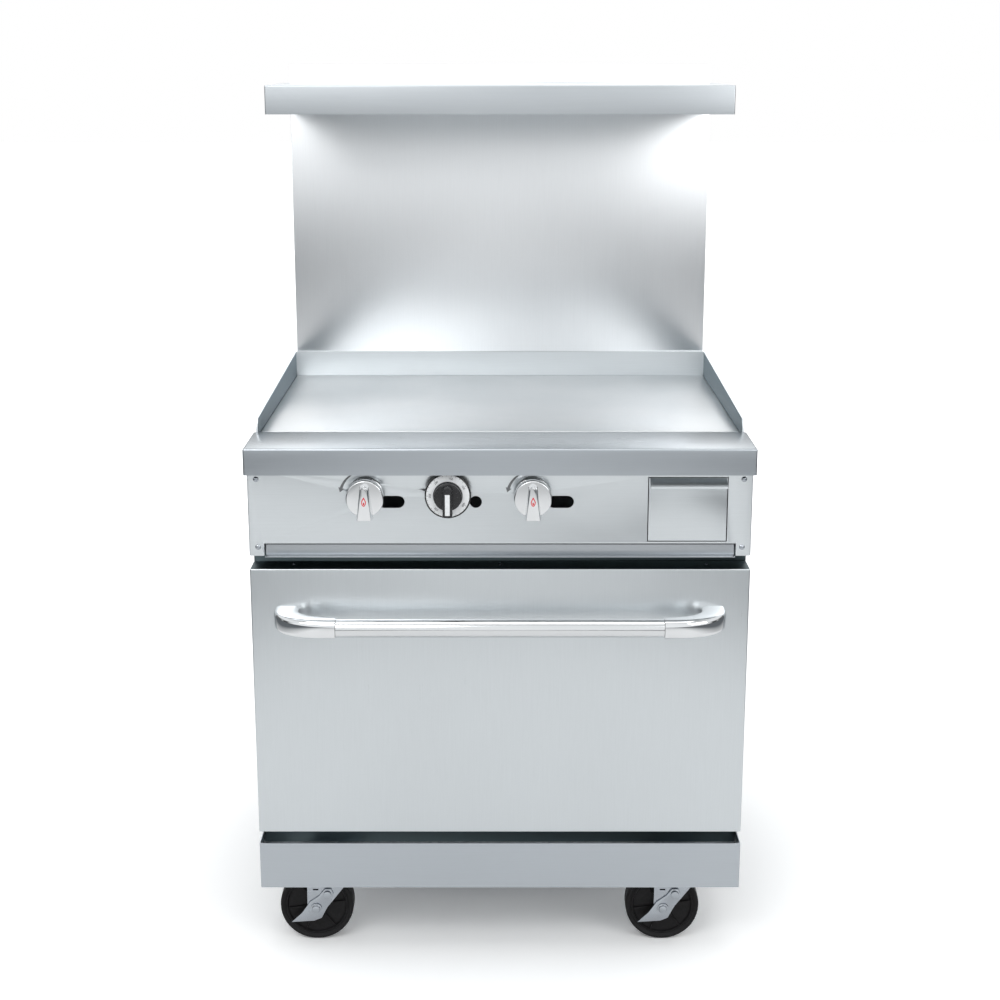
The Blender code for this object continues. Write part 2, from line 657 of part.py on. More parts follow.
def make_door():
    skin = shell_box("door_skin", both(DOOR_HALF), (DOOR_FACE_D, DOOR_BACK_D - 0.002), DOOR_Z,
                     (BACK,), "steel_sheet")
    inset = SHEET + GAP
    inner = shell_box("door_inner", both(DOOR_HALF - inset), (DOOR_FACE_D + 0.020, DOOR_BACK_D),
                      (DOOR_Z[0] + inset, DOOR_Z[1] - inset), (FRONT,), "galvanised")
    wool = block("door_insulation", both(DOOR_HALF - 2 * inset), (DOOR_FACE_D + inset, DOOR_BACK_D - inset),
                 (0.290, DOOR_Z[1] - 2 * inset), "wool")
    # Each hinge bracket reaches the rod through a notch round the door's lower back edge.
    for piece in (skin, inner):
        notches = [
            block(f"{piece.name}_notch_{side}", sorted((side * (HINGE_X - 0.007), side * (HINGE_X + 0.007))),
                  (DOOR_FACE_D + 0.003, DOOR_BACK_D + 0.01), (DOOR_Z[0] - 0.01, 0.284), "steel_sheet")
            for side in (-1, 1)
        ]
        cut(piece, *notches)
    bar = rod("handle_bar", (-BAR_HALF + GAP, y_at(DOOR_FACE_D - HANDLE_STANDOFF), HANDLE_Z),
              (BAR_HALF - GAP, y_at(DOOR_FACE_D - HANDLE_STANDOFF), HANDLE_Z), HANDLE_RADIUS,
              "polished_steel", sides=24)
    elbows = [make_elbow("handle_elbow_left", -1), make_elbow("handle_elbow_right", 1)]
    pin = rod("door_hinge_rod", (-0.4435, y_at(PIVOT_D), PIVOT_Z), (0.4435, y_at(PIVOT_D), PIVOT_Z),
              ROD_RADIUS, "zinc", sides=12)
    ride(joint_empty("door_axis", 0, PIVOT_D, PIVOT_Z), skin, inner, wool, bar, *elbows, pin)


def make_hinge_bracket(name, side):
    """An eye plate that stands forward of the face frame and carries the door's hinge rod."""
    x = side * HINGE_X
    outline = arc((PIVOT_D, PIVOT_Z), 0.009, 90, 270, 9)
    outline += [(FRAME_D - 0.0013, PIVOT_Z - 0.009), (FRAME_D - 0.0013, PIVOT_Z + 0.009)]
    plate = flat_outline(name, outline, 0.006, side_frame(x), "zinc")
    flange = block(name + "_flange", (x - 0.022, x + 0.022), (FRAME_D - 0.0023, FRAME_D - GAP),
                   (PIVOT_Z - 0.014, PIVOT_Z + 0.024), "zinc")
    eye = rod(name + "_eye", (x - 0.02, y_at(PIVOT_D), PIVOT_Z), (x + 0.02, y_at(PIVOT_D), PIVOT_Z),
              ROD_RADIUS + 0.0006, "zinc", sides=12)
    weld_on(plate, flange)
    cut(plate, eye)


# ---------------------------------------------------------------- casters
def make_wheel(name, x, d):
    web, hub, side = 0.012, 0.0215, 0.020
    profile = [
        (BORE_RADIUS, -hub), (0.015, -hub), (0.015, -web), (0.056, -web), (0.058, -side),
        (0.067, -side), (WHEEL_RADIUS, -0.016), (WHEEL_RADIUS, 0.016), (0.067, side),
        (0.058, side), (0.056, web), (0.015, web), (0.015, hub), (BORE_RADIUS, hub),
    ]
    return smooth(turned(name, profile, facing_front(x, d, WHEEL_RADIUS), "wheel_black", steps=32))


def make_fork(name, x, d):
    """The swivelling yoke: a crown with a kingpin, and two legs down to the axle."""
    axle_x = -WHEEL_OFFSET
    outline = [(-0.0365, 0.1565), (0.0355, 0.1565), (0.0355, 0.116)]
    outline += arc((axle_x, WHEEL_RADIUS), 0.017, -20, -180, 8)
    crown = block(name, (x - 0.037, x + 0.036), (d - LEG_OUT, d + LEG_OUT), (0.150, 0.157), "zinc")
    thick = LEG_OUT - LEG_IN
    legs = [
        flat_outline(f"{name}_leg_{side}", outline, thick,
                     front_frame(x, d + side * (LEG_OUT - thick / 2 - 0.0003), 0), "zinc")
        for side in (-1, 1)
    ]
    kingpin = rod(name + "_kingpin", (x, y_at(d), 0.1535), (x, y_at(d), 0.1720), 0.006, "zinc")
    hole = rod(name + "_hole", (x + axle_x, y_at(d - 0.04), WHEEL_RADIUS),
               (x + axle_x, y_at(d + 0.04), WHEEL_RADIUS), BORE_RADIUS, "zinc")
    weld_on(crown, *legs, kingpin)
    return cut(crown, hole)


def make_axle(name, x, d, near):
    """A bolt through the fork: near is how far its front head stands off, past a brake pedal."""
    shaft, head, thick = AXLE_RADIUS, 0.0105, 0.0055
    profile = [
        (0, near + thick), (head - 0.001, near + thick), (head, near + thick - 0.001), (head, near),
        (shaft, near), (shaft, -LEG_OUT - GAP), (head, -LEG_OUT - GAP),
        (head, -LEG_OUT - GAP - thick), (0, -LEG_OUT - GAP - thick),
    ]
    return turned(name, profile, facing_front(x, d, WHEEL_RADIUS), "zinc", steps=16)


def make_caster_plate(name, x, d):
    """The fixed top plate with the ball race that the fork hangs from."""
    plate = block(name, (x - 0.050, x + 0.050), (d - 0.038, d + 0.038), (0.1680, 0.1735), "zinc")
    race = rod(name + "_race", (x, y_at(d), 0.1578), (x, y_at(d), 0.1690), 0.027, "zinc", sides=24)
    bore = rod(name + "_bore", (x, y_at(d), 0.150), (x, y_at(d), 0.180), 0.0067, "zinc")
    weld_on(plate, race)
    cut(plate, bore)


def make_brake(name, x, d):
    """A stamped side-lock pedal on the axle: a pointed toe below, a pressing pad above."""
    front = d - LEG_OUT - GAP - 0.0013
    outline = [
        (-0.048, -0.029), (-0.027, -0.009), (-0.012, 0.013), (0.006, 0.026), (0.017, 0.040),
        (0.029, 0.040), (0.033, 0.030), (0.030, 0.018), (0.018, -0.004), (0.010, -0.020),
        (-0.004, -0.026),
    ]
    pedal = flat_outline(name, outline, 0.0026, front_frame(x, front, WHEEL_RADIUS), "zinc")
    hole = rod(name + "_hole", (x, y_at(d - 0.05), WHEEL_RADIUS), (x, y_at(d + 0.05), WHEEL_RADIUS),
               BORE_RADIUS, "zinc")
    pad = rod(name + "_pad", (x + 0.022, y_at(front - 0.0010), WHEEL_RADIUS + 0.030),
              (x + 0.022, y_at(front - 0.0065), WHEEL_RADIUS + 0.030), 0.0075, "zinc", sides=12)
    weld_on(pedal, pad)
    cut(pedal, hole)
    return pedal


def make_casters():
    for place, d in zip(("front", "rear"), CASTER_D):
        for side, x in (("left", -CASTER_X), ("right", CASTER_X)):
            which = f"{place}_{side}"
            braked = place == "front"
            axle_x = x - WHEEL_OFFSET
            near = LEG_OUT + GAP + (0.0026 + GAP if braked else 0)
            make_caster_plate(f"caster_plate_{which}", x, d)
            fork = make_fork(f"caster_fork_{which}", x, d)
            axle = make_axle(f"caster_axle_{which}", axle_x, d, near)
            wheel = make_wheel(f"caster_wheel_{which}", axle_x, d)
            ride(joint_empty(f"swivel_axis_{which}", x, d, 0.157), fork, axle)
            ride(joint_empty(f"wheel_axis_{which}", axle_x, d, WHEEL_RADIUS), wheel)
            if braked:
                pedal = make_brake(f"brake_pedal_{side}", axle_x, d)
                ride(joint_empty(f"brake_axis_{side}", axle_x, d, WHEEL_RADIUS), pedal)


make_body()
make_control_panel()
make_knob("griddle_knob_left", KNOB_X[0])
make_knob("griddle_knob_right", KNOB_X[1])
make_dial()
make_gas_train()
make_top()
make_guard()
make_tray()
make_drawer()
make_oven()
make_door()
make_hinge_bracket("hinge_bracket_left", -1)
make_hinge_bracket("hinge_bracket_right", 1)
make_casters()
bpy.context.view_layer.update()
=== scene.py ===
import json
import math

import bmesh
import bpy
from mathutils import Matrix, Vector


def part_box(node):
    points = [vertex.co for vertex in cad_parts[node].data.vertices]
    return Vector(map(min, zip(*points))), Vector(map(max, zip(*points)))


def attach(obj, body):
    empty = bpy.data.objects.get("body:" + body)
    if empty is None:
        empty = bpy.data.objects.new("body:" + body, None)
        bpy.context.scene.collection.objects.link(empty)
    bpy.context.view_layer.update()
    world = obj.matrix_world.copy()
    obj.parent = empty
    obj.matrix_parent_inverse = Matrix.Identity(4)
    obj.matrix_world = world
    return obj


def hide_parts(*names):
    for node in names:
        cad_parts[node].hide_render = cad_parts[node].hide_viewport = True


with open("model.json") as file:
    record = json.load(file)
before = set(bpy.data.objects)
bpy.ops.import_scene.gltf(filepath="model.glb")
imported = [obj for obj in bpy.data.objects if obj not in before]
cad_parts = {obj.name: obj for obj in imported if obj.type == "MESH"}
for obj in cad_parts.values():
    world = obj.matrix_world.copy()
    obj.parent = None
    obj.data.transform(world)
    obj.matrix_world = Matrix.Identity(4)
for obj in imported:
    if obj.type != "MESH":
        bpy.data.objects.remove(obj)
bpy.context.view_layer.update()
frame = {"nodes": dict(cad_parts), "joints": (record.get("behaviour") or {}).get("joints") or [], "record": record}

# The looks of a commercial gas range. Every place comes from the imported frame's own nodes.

BODY_OF = {node: body for body, nodes in frame["record"]["behaviour"]["bodies"].items()
           for node in nodes}
SHEET = 0.0015

# Sizes that only the looks need, in metres.
SCREW_RADIUS = 0.0048
BACK_SCREW_SINK = 0.0018        # keeps the heads on the back close to the CAD's box
RISER_SCREW_SINK = 0.0016
ELBOW_SQUARENESS = 2.5          # the superellipse power of the handle ends in plan
ELBOW_BASE_WIDTH = 0.044
ELBOW_BAR_DEPTH = 0.034
TURN_ARC_RADIUS = 0.045         # the printed arrow round each griddle knob
DIAL_TICKS = 24
DIAL_SWEEP = 300                # degrees of the dial that carry figures
WHEEL_RIBS = 6

# Camera and stage.
CAMERA_SHIFT = -0.075
CAMERA_PITCH = 12.9
CAMERA_LENS = 57.3
CAMERA_DISTANCE = 2.695
CAMERA_ABOVE_LEDGE = 0.66
FLOOR_HALF = 30
FLOOR_SEEN = (1.15, 1.15, 1.15)         # what the camera sees; over 1 so that it comes out white
FLOOR_NEAR = (0.80, 0.80, 0.80)         # what light and reflections meet in front of the range
FLOOR_FAR = (0.12, 0.13, 0.14)          # and far out to its sides
FLOOR_GLOW = 0.70


# ---------------------------------------------------------------- materials
def new_material(name, colour, roughness, metallic=0.0):
    material = bpy.data.materials.new(name)
    material.use_nodes = True
    shader = material.node_tree.nodes["Principled BSDF"]
    shader.inputs["Base Color"].default_value = (*colour, 1)
    shader.inputs["Roughness"].default_value = roughness
    shader.inputs["Metallic"].default_value = metallic
    return material, material.node_tree, shader


def noise(tree, scale, stretch=(1, 1, 1), detail=3.0, rough=0.55):
    """Object-space noise, stretched along an axis where stretch is small."""
    coords = tree.nodes.new("ShaderNodeTexCoord")
    mapping = tree.nodes.new("ShaderNodeMapping")
    mapping.inputs["Scale"].default_value = stretch
    texture = tree.nodes.new("ShaderNodeTexNoise")
    texture.inputs["Scale"].default_value = scale
    texture.inputs["Detail"].default_value = detail
    texture.inputs["Roughness"].default_value = rough
    tree.links.new(coords.outputs["Object"], mapping.inputs["Vector"])
    tree.links.new(mapping.outputs["Vector"], texture.inputs["Vector"])
    return texture.outputs["Fac"]


def ramp(tree, value, stops):
    node = tree.nodes.new("ShaderNodeValToRGB")
    while len(node.color_ramp.elements) < len(stops):
        node.color_ramp.elements.new(0.5)
    for element, (place, colour) in zip(node.color_ramp.elements, stops):
        element.position = place
        element.color = (*colour, 1)
    tree.links.new(value, node.inputs["Fac"])
    return node.outputs["Color"]


def spread(tree, value, low, high, start=0.3, end=0.7):
    node = tree.nodes.new("ShaderNodeMapRange")
    node.inputs["From Min"].default_value = start
    node.inputs["From Max"].default_value = end
    node.inputs["To Min"].default_value = low
    node.inputs["To Max"].default_value = high
    tree.links.new(value, node.inputs["Value"])
    return node.outputs["Result"]


def bump(tree, shader, height, strength, distance=0.001):
    node = tree.nodes.new("ShaderNodeBump")
    node.inputs["Strength"].default_value = strength
    node.inputs["Distance"].default_value = distance
    tree.links.new(height, node.inputs["Height"])
    tree.links.new(node.outputs["Normal"], shader.inputs["Normal"])


def blend_colours(tree, value, dark, light):
    return ramp(tree, value, [(0.3, dark), (0.7, light)])


def brushed_steel(name, grain, colour=(0.70, 0.735, 0.755), roughness=0.30, depth=0.035):
    """Sheet stainless: fine drawn lines along one axis, and slow clouds in tone and gloss."""
    material, tree, shader = new_material(name, colour, roughness, 1.0)
    stretch = {"x": (0.02, 1, 1), "y": (1, 0.02, 1), "z": (1, 1, 0.02)}[grain]
    lines = noise(tree, 620.0, stretch, detail=4.0, rough=0.7)
    clouds = noise(tree, 2.2, (1, 1, 1), detail=2.0)
    add = tree.nodes.new("ShaderNodeMath")
    add.operation = "MULTIPLY_ADD"
    add.inputs[1].default_value = 0.55
    tree.links.new(lines, add.inputs[0])
    half = tree.nodes.new("ShaderNodeMath")
    half.operation = "MULTIPLY"
    half.inputs[1].default_value = 0.45
    tree.links.new(clouds, half.inputs[0])
    tree.links.new(half.outputs[0], add.inputs[2])
    dark = tuple(0.965 * c for c in colour)
    light = tuple(min(1.0, 1.03 * c) for c in colour)
    tree.links.new(blend_colours(tree, add.outputs[0], dark, light), shader.inputs["Base Color"])
    tree.links.new(spread(tree, add.outputs[0], roughness - 0.03, roughness + 0.04),
                   shader.inputs["Roughness"])
    bump(tree, shader, lines, depth, 0.0004)
    return material


def griddle_steel():
    """Ground plate, a little warmer, with faint straight scouring lines running front to back and heat cloud."""
    material, tree, shader = new_material("griddle_plate_steel", (0.72, 0.74, 0.75), 0.38, 1.0)
    lines = noise(tree, 420.0, (1, 0.05, 1), detail=4.0)
    clouds = noise(tree, 5.0, (1, 1, 1), detail=5.0, rough=0.6)
    tree.links.new(blend_colours(tree, clouds, (0.69, 0.715, 0.73), (0.77, 0.785, 0.795)),
                   shader.inputs["Base Color"])
    tree.links.new(spread(tree, clouds, 0.34, 0.44), shader.inputs["Roughness"])
    bump(tree, shader, lines, 0.05, 0.0004)
    return material


def plated(name, colour, roughness, clouds_scale=18.0, variation=0.04):
    """Chrome or zinc: nearly smooth, with slight waviness and tarnish."""
    material, tree, shader = new_material(name, colour, roughness, 1.0)
    clouds = noise(tree, clouds_scale, (1, 1, 1), detail=3.0)
    dark = tuple(0.94 * c for c in colour)
    tree.links.new(blend_colours(tree, clouds, dark, colour), shader.inputs["Base Color"])
    tree.links.new(spread(tree, clouds, roughness, roughness + variation),
                   shader.inputs["Roughness"])
    bump(tree, shader, clouds, 0.03, 0.0006)
    return material


def galvanised():
    """Dull zinc-coated sheet with a pale crystalline spangle."""
    material, tree, shader = new_material("galvanised_sheet", (0.55, 0.57, 0.59), 0.42, 1.0)
    coords = tree.nodes.new("ShaderNodeTexCoord")
    cells = tree.nodes.new("ShaderNodeTexVoronoi")
    cells.inputs["Scale"].default_value = 150.0
    tree.links.new(coords.outputs["Object"], cells.inputs["Vector"])
    grey = tree.nodes.new("ShaderNodeRGBToBW")
    tree.links.new(cells.outputs["Color"], grey.inputs["Color"])
    tree.links.new(blend_colours(tree, grey.outputs["Val"], (0.53, 0.55, 0.57), (0.60, 0.62, 0.64)),
                   shader.inputs["Base Color"])
    tree.links.new(spread(tree, grey.outputs["Val"], 0.38, 0.46), shader.inputs["Roughness"])
    bump(tree, shader, noise(tree, 160.0), 0.05, 0.0005)
    return material


def enamel():
    """Dark porcelain enamel with tiny pale specks and a slight orange-peel."""
    material, tree, shader = new_material("speckled_enamel", (0.03, 0.035, 0.045), 0.18)
    shader.inputs["Coat Weight"].default_value = 0.4
    specks = noise(tree, 900.0, (1, 1, 1), detail=1.0)
    tree.links.new(ramp(tree, specks, [(0.66, (0.022, 0.026, 0.034)), (0.72, (0.22, 0.24, 0.27))]),
                   shader.inputs["Base Color"])
    tree.links.new(spread(tree, noise(tree, 40.0), 0.14, 0.26), shader.inputs["Roughness"])
    bump(tree, shader, noise(tree, 140.0), 0.06, 0.0006)
    return material


def rough_solid(name, low, high, roughness, scale, depth, metallic=0.0):
    """Cast, moulded or fibrous stuff: tone, gloss and relief from one noise."""
    material, tree, shader = new_material(name, high, roughness, metallic)
    grain = noise(tree, scale, (1, 1, 1), detail=5.0, rough=0.6)
    tree.links.new(blend_colours(tree, grain, low, high), shader.inputs["Base Color"])
    tree.links.new(spread(tree, grain, roughness - 0.07, roughness + 0.07),
                   shader.inputs["Roughness"])
    bump(tree, shader, grain, depth, 0.001)
    return material


MATERIALS = {
    "panel": brushed_steel("brushed_stainless", "x", (0.73, 0.765, 0.785)),
    "upright": brushed_steel("brushed_stainless_upright", "z", (0.72, 0.755, 0.775), 0.30, 0.012),
    # The backguard is a much brighter copy of the steel than the rest: painted light.
    "guard": brushed_steel("backguard_steel_painted_light", "z", (0.93, 0.945, 0.96), 0.34, 0.012),
    # The ledge's front, its top and the kick panel are darker copies of the panel steel: painted shade, with a
    # tone of its own for the ledge's top.
    "ledge": brushed_steel("ledge_and_kick_steel_painted_shade", "x", (0.53, 0.565, 0.60), 0.30),
    "ledge_top": brushed_steel("ledge_top_steel_painted_shade", "x", (0.50, 0.53, 0.555), 0.28),
    # The shelf's front is a darker copy of the panel steel: painted shade.
    "shelf": brushed_steel("shelf_front_steel_painted_shade", "x", (0.56, 0.59, 0.615), 0.30),
    # The crumb tray and the shelf's top are a darker copy of the panel steel: painted shade.
    "tray": brushed_steel("tray_and_shelf_top_steel_painted_shade", "x", (0.48, 0.505, 0.53), 0.30),
    # The side panels are a darker copy of the steel: painted shade on the sides.
    "side": brushed_steel("side_steel_painted_shade", "z", (0.64, 0.665, 0.685), 0.34),
    # Dark steel for the splash's inner sides: a painted dark reflection and painted shade.
    "splash": brushed_steel("splash_steel_painted_reflection", "y", (0.22, 0.26, 0.285), 0.34),
    # This steel's near-black colour is painted shade for the gap between the door and the control panel.
    "shaded": brushed_steel("painted_shade_steel", "x", (0.10, 0.13, 0.14), 0.38),
    "satin": brushed_steel("satin_tube", "x", (0.80, 0.81, 0.82), 0.15, 0.02),
    "griddle": griddle_steel(),
    "chrome": plated("chrome_plate", (0.88, 0.89, 0.90), 0.03),
    "zinc": plated("zinc_plate", (0.50, 0.53, 0.57), 0.16, 60.0, 0.12),
    "galvanised": galvanised(),
    "enamel": enamel(),
    "iron": rough_solid("cast_iron", (0.035, 0.033, 0.032), (0.09, 0.088, 0.086), 0.62, 260.0, 0.5, 0.4),
    "brass": rough_solid("machined_brass", (0.58, 0.42, 0.17), (0.78, 0.60, 0.29), 0.28, 70.0, 0.05, 1.0),
    "pipe": rough_solid("black_pipe", (0.03, 0.03, 0.032), (0.075, 0.075, 0.08), 0.48, 90.0, 0.15, 0.3),
    "plastic": rough_solid("black_plastic", (0.010, 0.010, 0.011), (0.022, 0.022, 0.024), 0.24, 300.0, 0.06),
    "wheel": rough_solid("wheel_black", (0.005, 0.005, 0.005), (0.012, 0.011, 0.012), 0.42, 170.0, 0.12),
    "wool": rough_solid("mineral_wool", (0.46, 0.40, 0.26), (0.80, 0.74, 0.58), 0.93, 190.0, 0.9),
    "white": rough_solid("dial_white", (0.80, 0.81, 0.82), (0.88, 0.89, 0.90), 0.32, 240.0, 0.03),
    "ink": rough_solid("dark_ink", (0.02, 0.02, 0.022), (0.05, 0.05, 0.055), 0.45, 240.0, 0.03),
    "grey_ink": rough_solid("grey_ink", (0.14, 0.145, 0.15), (0.22, 0.225, 0.23), 0.5, 240.0, 0.03),
    "red": rough_solid("red_mark", (0.60, 0.02, 0.03), (0.78, 0.05, 0.06), 0.38, 240.0, 0.03),
}
WHEEL_SHADER = MATERIALS["wheel"].node_tree.nodes["Principled BSDF"]
WHEEL_SHADER.inputs["Specular IOR Level"].default_value = 0.2


# ---------------------------------------------------------------- mesh helpers
def add_piece(name, mesh, material, body):
    """Puts a mesh in the scene, gives it its material and makes it ride on its body."""
    piece = bpy.data.objects.new(name, mesh)
    bpy.context.scene.collection.objects.link(piece)
    mesh.materials.clear()
    mesh.materials.append(MATERIALS[material])
    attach(piece, body)
    return piece


def to_mesh(bm, name, smooth_angle=40):
    bmesh.ops.remove_doubles(bm, verts=bm.verts, dist=1e-6)
    bmesh.ops.recalc_face_normals(bm, faces=bm.faces)
    mesh = bpy.data.meshes.new(name)
    bm.to_mesh(mesh)
    bm.free()
    mesh.shade_smooth()
    mesh.set_sharp_from_angle(angle=math.radians(smooth_angle))
    return mesh


def cube_bmesh(lo, hi):
    bm = bmesh.new()
    bmesh.ops.create_cube(bm, size=1.0)
    size = Matrix.Diagonal((hi[0] - lo[0], hi[1] - lo[1], hi[2] - lo[2], 1))
    middle = (Vector(lo) + Vector(hi)) / 2
    bmesh.ops.transform(bm, matrix=Matrix.Translation(middle) @ size, verts=bm.verts)
    bm.normal_update()
    return bm


def bevel_sharp(bm, width, segments, angle=30):
    bm.normal_update()
    edges = [e for e in bm.edges
             if len(e.link_faces) == 2 and e.calc_face_angle(0) > math.radians(angle)]
    bmesh.ops.bevel(bm, geom=edges, offset=width, segments=segments, profile=0.5,
                    affect="EDGES", clamp_overlap=True)


def paint_shade_by_face(piece, material, chosen):
    """Gives the chosen faces of a piece a material of their own: lighter and darker copies of the steel that paint
    light and shade by the way the faces point.
    """
    piece.data.materials.append(MATERIALS[material])
    for face in piece.data.polygons:
        if chosen(face):
            face.material_index = len(piece.data.materials) - 1


def solidified(bm, thickness):
    """Gives an open surface its thickness on its inner side."""
    bmesh.ops.recalc_face_normals(bm, faces=bm.faces)
    bm.normal_update()
    mesh = bpy.data.meshes.new("sheet")
    bm.to_mesh(mesh)
    bm.free()
    holder = bpy.data.objects.new("sheet", mesh)
    bpy.context.scene.collection.objects.link(holder)
    modifier = holder.modifiers.new("sheet", "SOLIDIFY")
    modifier.thickness = thickness
    modifier.offset = -1
    modifier.use_even_offset = True
    return applied(holder)


def applied(holder):
    """The evaluated mesh of a helper object, as a bmesh. The helper is removed."""
    bpy.context.view_layer.update()
    graph = bpy.context.evaluated_depsgraph_get()
    mesh = bpy.data.meshes.new_from_object(holder.evaluated_get(graph))
    bm = bmesh.new()
    bm.from_mesh(mesh)
    bm.transform(holder.matrix_world)
    bpy.data.meshes.remove(mesh)
    bpy.data.objects.remove(holder)
    return bm


OPEN = {"up": (0, 0, 1), "down": (0, 0, -1), "front": (0, -1, 0), "back": (0, 1, 0),
        "left": (-1, 0, 0), "right": (1, 0, 0)}


def folded(lo, hi, gone, radius, thickness=SHEET):
    """Sheet folded round a box with rounded bends, open on the sides in gone."""
    bm = cube_bmesh(lo, hi)
    faces = [f for f in bm.faces if any(f.normal.dot(Vector(OPEN[g])) > 0.9 for g in gone)]
    bmesh.ops.delete(bm, geom=faces, context="FACES")
    outward = (Vector(lo) + Vector(hi)) / 2
    bevel_sharp(bm, radius, 4)
    bm.normal_update()
    for face in bm.faces:
        if face.normal.dot(face.calc_center_median() - outward) < 0:
            face.normal_flip()
    mesh = bpy.data.meshes.new("fold")
    bm.to_mesh(mesh)
    bm.free()
    holder = bpy.data.objects.new("fold", mesh)
    bpy.context.scene.collection.objects.link(holder)
    modifier = holder.modifiers.new("sheet", "SOLIDIFY")
    modifier.thickness = thickness
    modifier.offset = -1
    modifier.use_even_offset = False
    return applied(holder)


def cut_away(bm, cutters):
    """Cuts other meshes out of bm and returns the result."""
    holders = []
    for number, part in enumerate([bm, *cutters]):
        bmesh.ops.recalc_face_normals(part, faces=part.faces)
        mesh = bpy.data.meshes.new(f"cut_{number}")
        part.to_mesh(mesh)
        part.free()
        holder = bpy.data.objects.new(f"cut_{number}", mesh)
        bpy.context.scene.collection.objects.link(holder)
        holders.append(holder)
    for cutter in holders[1:]:
        modifier = holders[0].modifiers.new("cut", "BOOLEAN")
        modifier.operation = "DIFFERENCE"
        modifier.object = cutter
    result = applied(holders[0])
    for cutter in holders[1:]:
        bpy.data.objects.remove(cutter)
    return result


def replace_folded(node, gone, radius, material, name=None, cutters=(), thickness=SHEET,
                   lo=None, hi=None):
    """Stands a folded-sheet piece with rounded bends in for a CAD node."""
    box_lo, box_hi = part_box(node)
    bm = folded(lo or box_lo, hi or box_hi, gone, radius, thickness)
    if cutters:
        bm = cut_away(bm, cutters)
    name = name or node + "_sheet"
    piece = add_piece(name, to_mesh(bm, name), material, BODY_OF[node])
    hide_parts(node)
    return piece


def clean_node(node):
    """The CAD node's own shape, with its flat faces made whole."""
    bm = bmesh.new()
    bm.from_mesh(frame["nodes"][node].data)
    bmesh.ops.remove_doubles(bm, verts=bm.verts, dist=1e-5)
    bmesh.ops.dissolve_limit(bm, angle_limit=math.radians(1), verts=bm.verts, edges=bm.edges)
    return bm


def replace_eased(node, width, material, segments=2, angle=30):
    """Stands the CAD node's own shape in for it, with its sharp edges eased."""
    bm = clean_node(node)
    bevel_sharp(bm, width, segments, angle)
    name = node + "_eased"
    piece = add_piece(name, to_mesh(bm, name), material, BODY_OF[node])
    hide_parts(node)
    return piece


def revolve(profile, place, steps=48):
    """Turns (radius, height) points about place's Z axis."""
    bm = bmesh.new()
    rings = []
    for radius, height in profile:
        if radius < 1e-7:
            rings.append([bm.verts.new(place @ Vector((0, 0, height)))])
            continue
        turn = [2 * math.pi * k / steps for k in range(steps)]
        rings.append([bm.verts.new(place @ Vector((radius * math.cos(a), radius * math.sin(a), height)))
                      for a in turn])
    for low, high in zip(rings, rings[1:]):
        for k in range(steps):
            quad = [low[k % len(low)], low[(k + 1) % len(low)], high[(k + 1) % len(high)],
                    high[k % len(high)]]
            corners = list(dict.fromkeys(quad))
            if len(corners) > 2:
                bm.faces.new(corners)
    return bm


def eased_profile(points, radius, segments=3):
    """Rounds the inner corners of a (radius, height) profile."""
    result = [points[0]]
    for before, here, after in zip(points, points[1:], points[2:]):
        a, b, c = Vector(before), Vector(here), Vector(after)
        r = min(radius, (a - b).length * 0.45, (c - b).length * 0.45)
        start, end = b + (a - b).normalized() * r, b + (c - b).normalized() * r
        for k in range(segments + 1):
            t = k / segments
            point = start * (1 - t) ** 2 + b * 2 * t * (1 - t) + end * t ** 2
            result.append((point.x, point.y))
    result.append(points[-1])
    return result


def extruded(outline, frame_matrix, thickness):
    """A flat plate in frame_matrix's XY plane: its back is on the plane, its face at thickness."""
    bm = bmesh.new()
    bottom = [bm.verts.new(frame_matrix @ Vector((u, v, 0))) for u, v in outline]
    top = [bm.verts.new(frame_matrix @ Vector((u, v, thickness))) for u, v in outline]
    bm.faces.new(list(reversed(bottom)))
    bm.faces.new(top)
    count = len(outline)
    for k in range(count):
        bm.faces.new([bottom[k], bottom[(k + 1) % count], top[(k + 1) % count], top[k]])
    return bm


def arc(centre, radius, start, end, count):
    """Points round a centre, from one angle in degrees to another."""
    angles = [math.radians(start + (end - start) * i / (count - 1)) for i in range(count)]
    return [(centre[0] + radius * math.cos(a), centre[1] + radius * math.sin(a)) for a in angles]


def merge(*meshes):
    """Joins bmeshes into the first."""
    for other in meshes[1:]:
        mesh = bpy.data.meshes.new("part")
        other.to_mesh(mesh)
        other.free()
        meshes[0].from_mesh(mesh)
        bpy.data.meshes.remove(mesh)
    return meshes[0]


def facing(x, y, z, direction="front"):
    """A frame whose Z axis points out of the named side, with its X to the viewer's right."""
    turn = {
        "front": Matrix.Rotation(math.radians(90), 4, "X"),
        "back": Matrix.Rotation(math.pi, 4, "Z") @ Matrix.Rotation(math.radians(90), 4, "X"),
        "up": Matrix.Identity(4),
        "left": Matrix.Rotation(math.radians(-90), 4, "Z") @ Matrix.Rotation(math.radians(90), 4, "X"),
        "right": Matrix.Rotation(math.radians(90), 4, "Z") @ Matrix.Rotation(math.radians(90), 4, "X"),
    }[direction]
    return Matrix.Translation((x, y, z)) @ turn


